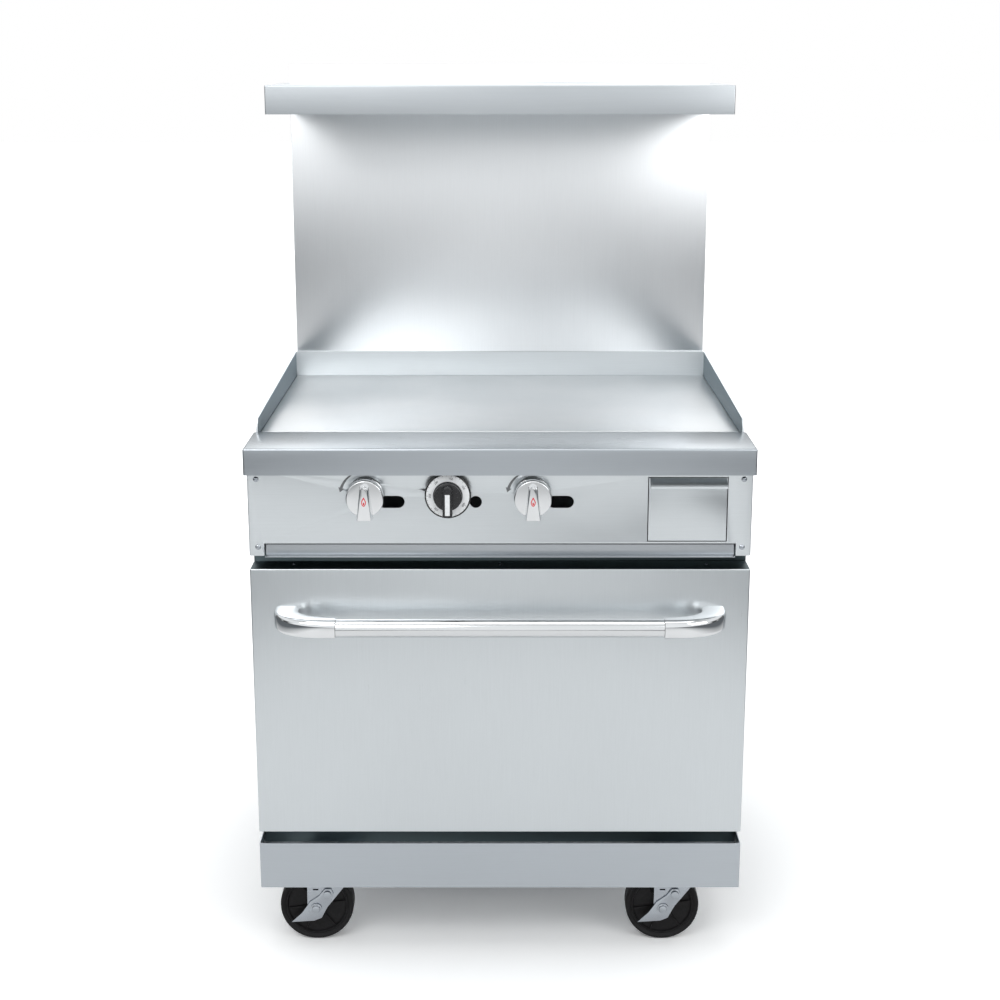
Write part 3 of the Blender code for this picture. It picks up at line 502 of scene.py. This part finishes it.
def screw_heads(name, places, direction, body, radius=SCREW_RADIUS):
    """Domed screw heads with a cross recess, all on one body, each turned a little differently."""
    heads = []
    for number, (x, y, z) in enumerate(places):
        place = facing(x, y, z, direction) @ Matrix.Rotation(0.7 * number + 0.3, 4, "Z")
        profile = [(radius, 0.0)] + arc((0, -radius * 0.75), radius * 1.25, 37, 88, 6)
        profile = [(max(r, 0.0), max(h, 0.0)) for r, h in profile] + [(0, radius * 0.5)]
        head = revolve(profile, place, 20)
        slots = [
            cube_to_frame((-radius * 0.55, -radius * 0.10, radius * 0.26),
                          (radius * 0.55, radius * 0.10, radius), place @ Matrix.Rotation(turn, 4, "Z"))
            for turn in (0, math.pi / 2)
        ]
        bmesh.ops.holes_fill(head, edges=[e for e in head.edges if e.is_boundary])
        heads.append(cut_away(head, slots))
    return add_piece(name, to_mesh(merge(*heads), name), "zinc", body)


def cube_to_frame(lo, hi, place):
    bm = cube_bmesh(lo, hi)
    bmesh.ops.transform(bm, matrix=place, verts=bm.verts)
    return bm


def figures(name, text, size, place, depth=0.0003):
    """Plain figures as a thin bmesh."""
    curve = bpy.data.curves.new(name, "FONT")
    curve.body = text
    curve.size = size
    curve.align_x = "CENTER"
    curve.align_y = "CENTER"
    curve.extrude = depth / 2
    curve.resolution_u = 3
    holder = bpy.data.objects.new(name + "_text", curve)
    bpy.context.scene.collection.objects.link(holder)
    holder.matrix_world = place
    return applied(holder)


# ---------------------------------------------------------------- top and upper works
def make_ledge():
    ledge = replace_folded("front_ledge", ("down",), 0.0035, "ledge_top")
    # Painted shade: the front faces take one darker copy of the steel, the rest take the other.
    paint_shade_by_face(ledge, "ledge", lambda face: face.normal.y < -0.7)


def make_upper_works():
    shelf = replace_folded("high_shelf", ("down", "back"), 0.0025, "panel")
    # Painted shade: the shelf's front and top take darker copies of the steel, picked by the way the faces point.
    paint_shade_by_face(shelf, "shelf", lambda face: face.normal.y < -0.7)
    paint_shade_by_face(shelf, "tray", lambda face: face.normal.z > 0.7)
    replace_folded("flue_riser", ("up", "down", "front"), 0.0025, "galvanised")
    # The backguard's brighter steel is painted light.
    replace_eased("backguard", 0.0005, "guard")
    _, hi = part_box("flue_riser")
    # Screws down both edges of the riser's back.
    places = [(side * (hi.x - 0.018), hi.y - RISER_SCREW_SINK, z)
              for side in (-1, 1) for z in (1.02, 1.24, 1.46, 1.61)]
    screw_heads("riser_screws", places, "back", "root", 0.0042)


def make_griddle():
    replace_eased("griddle_plate", 0.0012, "griddle", 3)
    splash = replace_eased("griddle_splash", 0.0006, "splash", 2)
    # The splash's inner sides keep the dark steel as a painted reflection and shade; its front and top faces get
    # the plain panel steel.
    paint_shade_by_face(splash, "panel", lambda face: face.normal.y < -0.7 or face.normal.z > 0.9)
    replace_folded("grease_trough", ("up",), 0.003, "griddle", thickness=0.002,
                   cutters=[cube_bmesh((0.300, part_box("grease_trough")[0].y + 0.0085, 0.92),
                                       (0.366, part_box("grease_trough")[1].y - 0.0085, 0.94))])


# ---------------------------------------------------------------- body
def make_body():
    # The side panels take the darker steel copy: painted shade.
    for node in ("side_panel_left", "side_panel_right"):
        replace_eased(node, 0.0004, "side")
    # The face frame takes the near-black steel: painted shade in the dark gap round the door.
    for node, material, slot in (
        ("back_panel", "galvanised", "galvanised_sheet"),
        ("face_frame", "shaded", "brushed_stainless"),
        ("control_panel", "panel", "brushed_stainless"),
    ):
        replace_eased(node, 0.0004, material, 1)
    # The kick panel takes the ledge's darker steel copy: painted shade.
    replace_folded("kick_panel", ("up", "down", "back"), 0.0028, "ledge")
    replace_folded("base_pan", ("up",), 0.003, "galvanised", thickness=0.002)


for make in (make_ledge, make_upper_works, make_griddle, make_body):
    make()


# ---------------------------------------------------------------- controls
def knob_outline():
    """The grip seen from the front: a wedge with a round top that widens downwards."""
    top = arc((0, 0.019), 0.0088, 20, 160, 9)
    return [(0.0155, -0.0345), (0.0092, 0.012), *top, (-0.0092, 0.012), (-0.0155, -0.0345)]


def make_knob(node):
    """A chrome knob: a stepped skirt, a domed face and a tapered grip with a flame mark."""
    lo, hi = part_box(node)
    x, z = (lo.x + hi.x) / 2, hi.z - 0.0335
    back = next(j for j in frame["joints"] if j["child"] == node)["pos_m"][1]
    place = facing(x, back, z)
    body = BODY_OF[node]
    profile = eased_profile([
        (0, 0.0), (0.0335, 0.0), (0.0335, 0.0030), (0.0305, 0.0042), (0.0305, 0.0068),
        (0.0335, 0.0080), (0.0335, 0.0215), (0.0322, 0.0235), (0.0, 0.0240),
    ], 0.0012)
    skirt = revolve(profile, place, 72)
    # The grip's back is wider than its front, so that its flanks lean in.
    outline = knob_outline()
    grip = bmesh.new()
    rings = []
    for height, shrink in ((0.0225, 1.0), (0.0385, 0.86), (0.0412, 0.78), (0.0418, 0.66)):
        rings.append([grip.verts.new(place @ Vector((u * shrink, v * (0.985 if shrink < 1 else 1), height)))
                      for u, v in outline])
    for low, high in zip(rings, rings[1:]):
        for k in range(len(outline)):
            grip.faces.new([low[k], low[(k + 1) % len(outline)], high[(k + 1) % len(outline)], high[k]])
    grip.faces.new(list(reversed(rings[0])))
    grip.faces.new(rings[-1])
    bevel_sharp(grip, 0.0006, 2, 35)
    knob = add_piece(node + "_chrome", to_mesh(merge(skirt, grip), node, 32), "chrome", body)
    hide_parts(node)
    flame(node + "_flame", place @ Matrix.Translation((0, 0.0005, 0.0419)), body)
    stem = revolve([(0, -0.030), (0.004, -0.030), (0.004, 0.0005), (0, 0.0005)], place, 20)
    add_piece(node + "_stem", to_mesh(stem, node), "brass", body)


def flame(name, place, body):
    """A plain drop-shaped outline, red, with a small drop inside it."""
    points_round = 20

    def drop(width, height, low):
        points = []
        for k in range(points_round):
            t = 2 * math.pi * k / points_round
            u = width / 2 * math.sin(t) * (1 - 0.55 * max(0.0, math.cos(t)))
            points.append((u, low + height / 2 + height / 2 * math.cos(t)))
        return list(reversed(points))

    bm = bmesh.new()

    def outline(*shape):
        return [bm.verts.new(place @ Vector((u, v, 0.0002))) for u, v in drop(*shape)]

    outer, inner = outline(0.0085, 0.0165, -0.0085), outline(0.0055, 0.0115, -0.0068)
    for k in range(points_round):
        n = (k + 1) % points_round
        bm.faces.new([outer[k], outer[n], inner[n], inner[k]])
    bm.faces.new(outline(0.0030, 0.0050, -0.0058))
    mark = solidified(bm, 0.0003)
    add_piece(name, to_mesh(mark, name), "red", body)


def make_dial():
    """Oven thermostat: black skirt, white graduated ring, black hub and a grip with a pointer."""
    node = "thermostat_dial"
    joint = next(j for j in frame["joints"] if j["child"] == node)["pos_m"]
    place = facing(*joint)
    body = BODY_OF[node]
    skirt = revolve(eased_profile([
        (0, 0.0), (0.039, 0.0), (0.039, 0.0025), (0.0368, 0.0032), (0.0368, 0.0058),
        (0.0408, 0.0068), (0.041, 0.0112), (0.0392, 0.0122), (0.0385, 0.0112), (0.0, 0.0112),
    ], 0.0006), place, 80)
    hub = revolve(eased_profile([
        (0.0258, 0.0105), (0.0258, 0.0150), (0.0246, 0.0160), (0.0246, 0.0232), (0.0236, 0.0245),
        (0.0, 0.0248),
    ], 0.0008), place, 64)
    outline = [(0.0085, -0.0305), (0.0085, 0.014), *arc((0, 0.014), 0.0085, 20, 160, 7),
               (-0.0085, 0.014), (-0.0085, -0.0305)]
    grip = extruded(outline, place @ Matrix.Translation((0, 0, 0.0235)), 0.0163)
    bevel_sharp(grip, 0.0018, 3, 30)
    dial = add_piece("dial_black", to_mesh(merge(skirt, hub, grip), "dial"), "plastic", body)
    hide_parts(node)
    ring = revolve([(0.0262, 0.0108), (0.0262, 0.0119), (0.0382, 0.0119), (0.0382, 0.0108),
                    (0.0262, 0.0108)], place, 80)
    add_piece("dial_ring", to_mesh(ring, "dial_ring"), "white", body)
    pointer = extruded([(0.0042, -0.0285), (0.0042, 0.0095), (-0.0042, 0.0095), (-0.0042, -0.0285)],
                       place @ Matrix.Translation((0, 0, 0.0395)), 0.0006)
    bevel_sharp(pointer, 0.0002, 1, 30)
    add_piece("dial_pointer", to_mesh(pointer, "dial_pointer"), "white", body)
    stem = revolve([(0, -0.030), (0.004, -0.030), (0.004, 0.0005), (0, 0.0005)], place, 20)
    add_piece("dial_stem", to_mesh(stem, "dial_stem"), "brass", body)
    marks = []
    # Long and short ticks round the ring, with a plain figure at each long one.
    for number in range(DIAL_TICKS + 1):
        angle = math.radians(-60 + DIAL_SWEEP * number / DIAL_TICKS)
        turn = place @ Matrix.Rotation(angle, 4, "Z")
        long_tick = number % 4 == 0
        length = 0.0030 if long_tick else 0.0017
        marks.append(cube_to_frame((-0.00028, 0.0378 - length, 0.01185),
                                   (0.00028, 0.0378, 0.0121), turn))
        if long_tick:
            marks.append(figures(f"figure_{number}", str(100 + 50 * (number // 4)), 0.0052,
                                 turn @ Matrix.Translation((0, 0.0315, 0.01205))))
    add_piece("dial_marks", to_mesh(merge(*marks), "dial_marks"), "ink", body)


def make_panel_marks():
    """Tapered arcs that show which way each griddle knob turns, printed on the panel."""
    panel_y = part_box("control_panel")[0].y
    marks = []
    for joint in frame["joints"]:
        if not joint["name"].startswith("griddle_valve"):
            continue
        x, _, z = joint["pos_m"]
        place = facing(x, panel_y + 0.0001, z)
        count = 14
        outer, inner = [], []
        for k in range(count):
            t = k / (count - 1)
            angle = math.radians(96 + 66 * t)
            width = 0.0008 + 0.0042 * t
            for side, points in ((1, outer), (-1, inner)):
                reach = TURN_ARC_RADIUS + side * width / 2
                points.append((math.cos(angle) * reach, math.sin(angle) * reach))
        marks.append(extruded(outer + inner[::-1], place, 0.0002))
        tip = math.radians(162)
        along = Vector((-math.sin(tip), math.cos(tip)))
        out = Vector((math.cos(tip), math.sin(tip)))
        base = out * TURN_ARC_RADIUS
        head = [base + out * 0.0052, base - out * 0.0052, base + along * 0.0085]
        marks.append(extruded([(p.x, p.y) for p in head], place, 0.0002))
    add_piece("panel_marks", to_mesh(merge(*marks), "panel_marks"), "grey_ink", "root")


def make_screws():
    lo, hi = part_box("control_panel")
    places = [(side * (hi.x - 0.0145), lo.y + 0.0001, z) for side in (-1, 1)
              for z in (lo.z + 0.0165, hi.z - 0.021)]
    screw_heads("panel_screws", places, "front", "root", 0.0052)
    lo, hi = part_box("door_skin")
    places = [(x, (lo.y + hi.y) / 2 + 0.006, hi.z - 0.0001) for x in (-0.372, 0.0, 0.372)]
    screw_heads("door_screws", places, "up", "door", 0.0038)
    lo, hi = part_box("side_panel_right")
    for side, name in ((-1, "left"), (1, "right")):
        places = [(side * (hi.x - 0.0001), y, z) for y in (lo.y + 0.075, (lo.y + hi.y) / 2, hi.y - 0.03)
                  for z in (0.205, 0.55, 0.90)]
        screw_heads(f"side_screws_{name}", places, name, "root", 0.0045)
    lo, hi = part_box("back_panel")
    places = [(x, hi.y - BACK_SCREW_SINK, z) for x in (lo.x + 0.02, -0.15, 0.15, hi.x - 0.02)
              for z in (lo.z + 0.02, hi.z - 0.02)]
    places += [(x, hi.y - BACK_SCREW_SINK, (lo.z + hi.z) / 2) for x in (lo.x + 0.02, hi.x - 0.02)]
    screw_heads("back_screws", places, "back", "root", 0.0045)


# ---------------------------------------------------------------- drawer and tray
def make_drawer():
    """The grease drawer: a flush front with a folded pull, and a deep open can behind."""
    node = "grease_drawer"
    lo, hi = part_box(node)
    panel_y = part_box("control_panel")[0].y
    face = cube_bmesh((lo.x, panel_y, lo.z), (hi.x, panel_y + 0.0018, hi.z))
    bevel_sharp(face, 0.0006, 2)
    can = folded((lo.x + 0.003, panel_y + 0.0016, lo.z + 0.001), (hi.x - 0.003, hi.y, hi.z - 0.0055),
                 ("up",), 0.004, 0.002)
    place = Matrix(((0, 0, 1, lo.x + 0.0015), (1, 0, 0, panel_y), (0, 1, 0, hi.z), (0, 0, 0, 1)))
    outline = [(0.0006, -0.0006), (-0.0006, -0.0004), (-0.0168, -0.0128), (-0.0175, -0.0142),
               (-0.0175, -0.0160), (-0.0160, -0.0160), (-0.0158, -0.0146), (0.0006, -0.0024)]
    pull = extruded(outline, place, hi.x - lo.x - 0.003)
    bevel_sharp(pull, 0.0003, 1, 50)
    piece = add_piece("grease_drawer_sheet", to_mesh(merge(face, can, pull), node), "panel",
                      "grease_drawer")
    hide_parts(node)


def make_tray():
    node = "crumb_tray"
    lo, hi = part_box(node)
    tray_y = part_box("control_panel")[0].y + 0.001
    tray = folded((lo.x, tray_y, lo.z), (hi.x, hi.y, hi.z), ("up",), 0.0018)
    lip = cube_bmesh((lo.x + 0.0002, lo.y, lo.z + 0.0002), (hi.x - 0.0002, tray_y + 0.001, lo.z + 0.0018))
    bevel_sharp(lip, 0.0005, 2)
    # The tray takes the darker copy of the steel: painted shade under the control panel.
    piece = add_piece("crumb_tray_sheet", to_mesh(merge(tray, lip), node), "tray", "crumb_tray")
    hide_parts(node)


# ---------------------------------------------------------------- door
def make_door():
    lo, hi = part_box("door_skin")
    pivot = next(j for j in frame["joints"] if j["name"] == "door_hinge")["pos_m"]
    bracket_lo, bracket_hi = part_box("hinge_bracket_right")
    middle = (bracket_lo.x + bracket_hi.x) / 2

    def notches():
        """Room for each hinge bracket to reach the rod."""
        return [cube_bmesh((side * middle - 0.007, lo.y + 0.003, lo.z - 0.01),
                           (side * middle + 0.007, hi.y + 0.02, pivot[2] + 0.027)) for side in (-1, 1)]

    skin = replace_folded("door_skin", ("back",), 0.0024, "upright",
                          cutters=notches())
    # The door's top edge takes the near-black steel: painted shade and a painted dark reflection.
    paint_shade_by_face(skin, "shaded", lambda face: face.normal.z > 0.9 and face.center.z > hi.z - 0.003)
    replace_folded("door_inner", ("front",), 0.006, "galvanised",
                   cutters=notches())
    bar_lo, bar_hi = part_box("handle_bar")
    radius = (bar_hi.z - bar_lo.z) / 2
    axis_y, axis_z = (bar_lo.y + bar_hi.y) / 2, (bar_lo.z + bar_hi.z) / 2
    place = Matrix.Translation((bar_lo.x, axis_y, axis_z)) @ Matrix.Rotation(math.radians(90), 4, "Y")
    length = bar_hi.x - bar_lo.x
    profile = eased_profile([(0, 0), (radius, 0), (radius, length), (0, length)], 0.0006)
    bar = add_piece("handle_tube", to_mesh(revolve(profile, place, 64), "handle_tube"), "satin",
                    "door")
    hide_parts("handle_bar")
    for side, node in ((-1, "handle_elbow_left"), (1, "handle_elbow_right")):
        make_elbow(node, side, axis_z)


def make_elbow(node, side, axis_z):
    """A cast chrome end: its section goes from a tall oval at the door to the bar's round."""
    lo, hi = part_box(node)
    outer_x, inner_x = max(abs(lo.x), abs(hi.x)), min(abs(lo.x), abs(hi.x))
    front, back = lo.y, hi.y
    half_height = (hi.z - lo.z) / 2
    steps, around = 24, 32
    power_in_plan = 2 / ELBOW_SQUARENESS
    rings = []
    for k in range(steps + 1):
        a = math.radians(90 * k / steps)
        along = max(0.0, math.cos(a)) ** power_in_plan
        out = math.sin(a) ** power_in_plan
        outer = Vector((inner_x + (outer_x - inner_x) * along, back - (back - front) * out))
        inner = Vector((inner_x + (outer_x - ELBOW_BASE_WIDTH - inner_x) * along,
                        back - (back - front - ELBOW_BAR_DEPTH) * out))
        centre, reach = (outer + inner) / 2, (outer - inner).length / 2
        across = (outer - inner).normalized()
        # A squarish section, softer towards the bar.
        power = 5.0 - 2.0 * k / steps
        ring = []
        for n in range(around):
            t = 2 * math.pi * n / around
            c, s = math.cos(t), math.sin(t)
            u = math.copysign(abs(c) ** (2 / power), c) * reach
            v = math.copysign(abs(s) ** (2 / power), s) * half_height * (1 - 0.04 * k / steps)
            point = centre + across * u
            ring.append(Vector((side * point.x, point.y, axis_z + v)))
        rings.append(ring)
    bm = bmesh.new()
    made = [[bm.verts.new(point) for point in ring] for ring in rings]
    for low, high in zip(made, made[1:]):
        for n in range(around):
            bm.faces.new([low[n], low[(n + 1) % around], high[(n + 1) % around], high[n]])
    bm.faces.new(made[0])
    bm.faces.new(made[-1])
    piece = add_piece(node + "_cast", to_mesh(bm, node, 50), "chrome", "door")
    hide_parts(node)


# ---------------------------------------------------------------- casters
def make_wheel(node):
    """A moulded wheel: a tread with rounded shoulders, a raised ring, a web with ribs and a hub."""
    lo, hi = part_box(node)
    radius = (hi.z - lo.z) / 2
    centre = (lo + hi) / 2
    place = facing(*centre)
    half = [(0.0068, 0.0212), (0.0140, 0.0212), (0.0150, 0.0120), (0.0545, 0.0120),
            (0.0562, 0.0165), (0.0590, 0.0165), (0.0600, 0.0150), (0.0660, 0.0195),
            (0.0690, 0.0180), (radius, 0.0120)]
    profile = eased_profile(half + [(r, -h) for r, h in reversed(half)], 0.0012, 2)
    body = revolve(profile + [profile[0]], place, 96)
    ribs = []
    for side in (1, -1):
        for number in range(WHEEL_RIBS):
            turn = place @ Matrix.Rotation(math.radians(360 / WHEEL_RIBS * number + 8), 4, "Z")
            low, high = sorted((side * 0.0110, side * 0.0152))
            ribs.append(cube_to_frame((0.0145, -0.0011, low), (0.0555, 0.0011, high), turn))
    piece = add_piece(node + "_moulded", to_mesh(merge(body, *ribs), node, 35), "wheel",
                      BODY_OF[node])
    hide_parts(node)


def make_axle(node):
    """A bolt with a domed head on a washer at each end."""
    lo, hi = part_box(node)
    front, back = -lo.y, -hi.y
    end = [(0, 0), (0.0040, 0.0003), (0.0068, 0.0016), (0.0077, 0.0036), (0.0082, 0.0040),
           (0.0105, 0.0041), (0.0105, 0.0053), (0.0060, 0.0055)]
    profile = [(r, front - h) for r, h in end] + [(r, back + h) for r, h in reversed(end)]
    bolt = revolve(profile, facing((lo.x + hi.x) / 2, 0, (lo.z + hi.z) / 2), 40)
    piece = add_piece(node + "_bolt", to_mesh(bolt, node, 35), "zinc", BODY_OF[node])
    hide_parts(node)


def make_fork(node):
    """The pressed yoke: two slots through each leg above the axle, and two grooves in its outer face."""
    lo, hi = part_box(node)
    axle_lo, axle_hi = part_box(node.replace("fork", "axle"))
    axle_x, axle_z = (axle_lo.x + axle_hi.x) / 2, (axle_lo.z + axle_hi.z) / 2
    cutters = [cube_bmesh((axle_x - 0.0060, lo.y - 0.01, axle_z + low),
                          (axle_x + 0.0045, hi.y + 0.01, axle_z + low + 0.0030))
               for low in (0.036, 0.044)]
    for near, far, low in ((0.0105, 0.0140, 0.026), (0.0200, 0.0250, 0.036)):
        for face in (lo.y, hi.y):
            cutters.append(cube_bmesh((axle_x + near, face - 0.0012, axle_z + low),
                                      (axle_x + far, face + 0.0012, axle_z + 0.076)))
    bm = cut_away(clean_node(node), cutters)
    piece = add_piece(node + "_pressed", to_mesh(bm, node, 30), "zinc", BODY_OF[node])
    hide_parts(node)


def make_casters():
    for node in list(frame["nodes"]):
        if node.startswith("caster_wheel"):
            make_wheel(node)
        elif node.startswith("caster_fork"):
            make_fork(node)
        elif node.startswith("brake_pedal"):
            replace_eased(node, 0.0007, "zinc", 2, 40)
        elif node.startswith("caster_axle"):
            make_axle(node)
        elif node.startswith("caster_plate"):
            replace_eased(node, 0.0008, "zinc", 2, 40)


# ---------------------------------------------------------------- inside
def make_inside():
    replace_folded("oven_liner", ("front",), 0.008, "enamel")
    for node, material, slot in (
        ("rack_guide_left", "zinc", "zinc_plate"), ("rack_guide_right", "zinc", "zinc_plate"),
        ("oven_deck", "enamel", "black_enamel"), ("griddle_frame", "galvanised", "galvanised_sheet"),
        ("gas_valve_left", "brass", "brass"), ("gas_valve_right", "brass", "brass"),
        ("oven_thermostat", "galvanised", "galvanised_sheet"),
        ("hinge_bracket_left", "zinc", "zinc_plate"), ("hinge_bracket_right", "zinc", "zinc_plate"),
    ):
        replace_eased(node, 0.0004, material, 1)


for make in (make_panel_marks, make_dial, make_screws, make_drawer, make_tray, make_door,
             make_casters, make_inside):
    make()
for knob in ("griddle_knob_left", "griddle_knob_right"):
    make_knob(knob)


def default_finish():
    """Every CAD node that still shows gets its own finish."""
    finishes = {
        "zinc_plate": "zinc", "brass": "brass", "cast_iron": "iron", "black_pipe": "pipe",
        "galvanised_sheet": "galvanised", "brushed_stainless": "panel", "chrome": "chrome",
        "black_enamel": "enamel", "mineral_wool": "wool", "wheel_black": "wheel",
        "black_plastic": "plastic", "polished_steel": "satin", "griddle_steel": "griddle",
    }
    slot_of = {row["node"]: row["material_slot"] for row in frame["record"]["subparts"]}
    for node, obj in frame["nodes"].items():
        for slot in obj.material_slots:
            slot.material = MATERIALS[finishes[slot_of[node]]]


default_finish()


# ---------------------------------------------------------------- floor, light and camera
def make_stage():
    """A floor that is white to the camera, with a glow that grows with distance and hides the horizon."""
    mesh = bpy.data.meshes.new("floor")
    bm = bmesh.new()
    bmesh.ops.create_grid(bm, x_segments=1, y_segments=1, size=FLOOR_HALF)
    bm.to_mesh(mesh)
    bm.free()
    floor = bpy.data.objects.new("floor", mesh)
    bpy.context.scene.collection.objects.link(floor)
    material, tree, shader = new_material("pale_floor", FLOOR_NEAR, 0.7)
    shader.inputs["Specular IOR Level"].default_value = 0.05
    shader.inputs["Emission Color"].default_value = (1, 1, 1, 1)
    coords = tree.nodes.new("ShaderNodeTexCoord")
    distance = tree.nodes.new("ShaderNodeVectorMath")
    distance.operation = "LENGTH"
    tree.links.new(coords.outputs["Object"], distance.inputs[0])
    path = tree.nodes.new("ShaderNodeLightPath")
    # To reflections the floor is bright in front of the range and dark far out to its sides.
    split = tree.nodes.new("ShaderNodeSeparateXYZ")
    tree.links.new(coords.outputs["Object"], split.inputs["Vector"])
    sideways = tree.nodes.new("ShaderNodeMath")
    sideways.operation = "ABSOLUTE"
    tree.links.new(split.outputs["X"], sideways.inputs[0])
    reach = spread(tree, sideways.outputs[0], 0.0, 1.0, 1.2, 2.4)
    tone = tree.nodes.new("ShaderNodeMix")
    tone.data_type = "RGBA"
    tree.links.new(path.outputs["Is Camera Ray"], tone.inputs["Factor"])
    tree.links.new(ramp(tree, reach, [(0.0, FLOOR_NEAR), (1.0, FLOOR_FAR)]), tone.inputs["A"])
    tone.inputs["B"].default_value = (*FLOOR_SEEN, 1)
    tree.links.new(tone.outputs["Result"], shader.inputs["Base Color"])
    glow = tree.nodes.new("ShaderNodeMath")
    glow.operation = "MULTIPLY"
    tree.links.new(spread(tree, distance.outputs["Value"], 0.0, FLOOR_GLOW, 0.3, 3.0), glow.inputs[0])
    tree.links.new(path.outputs["Is Camera Ray"], glow.inputs[1])
    tree.links.new(glow.outputs[0], shader.inputs["Emission Strength"])
    mesh.materials.append(material)


def grey(value):
    """A very slightly cool grey."""
    return (0.97 * value, 0.99 * value, value)


def make_world():
    """White to the camera; to reflections, a studio with dark sides and a bright front and roof."""
    world = bpy.data.worlds.new("studio")
    bpy.context.scene.world = world
    world.use_nodes = True
    tree = world.node_tree
    background = tree.nodes["Background"]
    coords = tree.nodes.new("ShaderNodeTexCoord")
    split = tree.nodes.new("ShaderNodeSeparateXYZ")
    tree.links.new(coords.outputs["Generated"], split.inputs["Vector"])
    depth = spread(tree, split.outputs["Y"], 0.0, 1.0, -1.0, 1.0)
    walls = ramp(tree, depth, [(0.0, grey(0.95)), (0.20, grey(0.92)), (0.29, grey(0.60)),
                               (0.35, grey(0.06)), (0.45, grey(0.08)), (0.50, grey(0.48)),
                               (0.58, grey(0.10)), (0.80, grey(0.22)), (1.0, grey(0.60))])
    height = spread(tree, split.outputs["Z"], 0.0, 1.0, -1.0, 1.0)
    roof = ramp(tree, height, [(0.0, grey(0.0)), (0.58, grey(0.0)), (0.68, grey(0.85)),
                               (0.86, grey(0.85)), (1.0, grey(0.50))])
    both = tree.nodes.new("ShaderNodeMix")
    both.data_type = "RGBA"
    both.blend_type = "LIGHTEN"
    both.inputs["Factor"].default_value = 1.0
    tree.links.new(walls, both.inputs["A"])
    tree.links.new(roof, both.inputs["B"])
    path = tree.nodes.new("ShaderNodeLightPath")
    mix = tree.nodes.new("ShaderNodeMix")
    mix.data_type = "RGBA"
    tree.links.new(path.outputs["Is Camera Ray"], mix.inputs["Factor"])
    tree.links.new(both.outputs["Result"], mix.inputs["A"])
    mix.inputs["B"].default_value = (1.0, 1.0, 1.0, 1)
    tree.links.new(mix.outputs["Result"], background.inputs["Color"])
    background.inputs["Strength"].default_value = 1.0


def area_light(name, place, target, size, power):
    data = bpy.data.lights.new(name, "AREA")
    data.shape = "RECTANGLE"
    data.size, data.size_y = size
    data.energy = power
    light = bpy.data.objects.new(name, data)
    light.location = place
    light.rotation_euler = (Vector(target) - Vector(place)).to_track_quat("-Z", "Y").to_euler()
    bpy.context.scene.collection.objects.link(light)


def make_lights():
    area_light("key", (-1.6, -3.0, 3.4), (0, 0, 0.9), (2.4, 1.6), 34)
    area_light("fill", (2.4, -2.6, 2.4), (0, 0, 0.8), (1.8, 1.8), 20)
    area_light("top", (0, -0.4, 3.6), (0, 0, 0.8), (2.6, 1.8), 20)
    area_light("back", (0, 3.0, 3.0), (0, 0, 1.0), (2.6, 1.6), 20)


def make_camera():
    ledge_lo, ledge_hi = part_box("front_ledge")
    camera_data = bpy.data.cameras.new("camera")
    camera = bpy.data.objects.new("camera", camera_data)
    bpy.context.scene.collection.objects.link(camera)
    camera_data.sensor_width = 36
    camera_data.lens = CAMERA_LENS
    camera_data.shift_y = CAMERA_SHIFT
    camera.location = (0, ledge_lo.y - CAMERA_DISTANCE, ledge_hi.z + CAMERA_ABOVE_LEDGE)
    camera.rotation_euler = (math.radians(90 - CAMERA_PITCH), 0, 0)
    bpy.context.scene.camera = camera


# A plain transform, so that the white of the floor and backdrop comes out white.
bpy.context.scene.view_settings.view_transform = "Standard"
make_stage()
make_world()
make_lights()
make_camera()
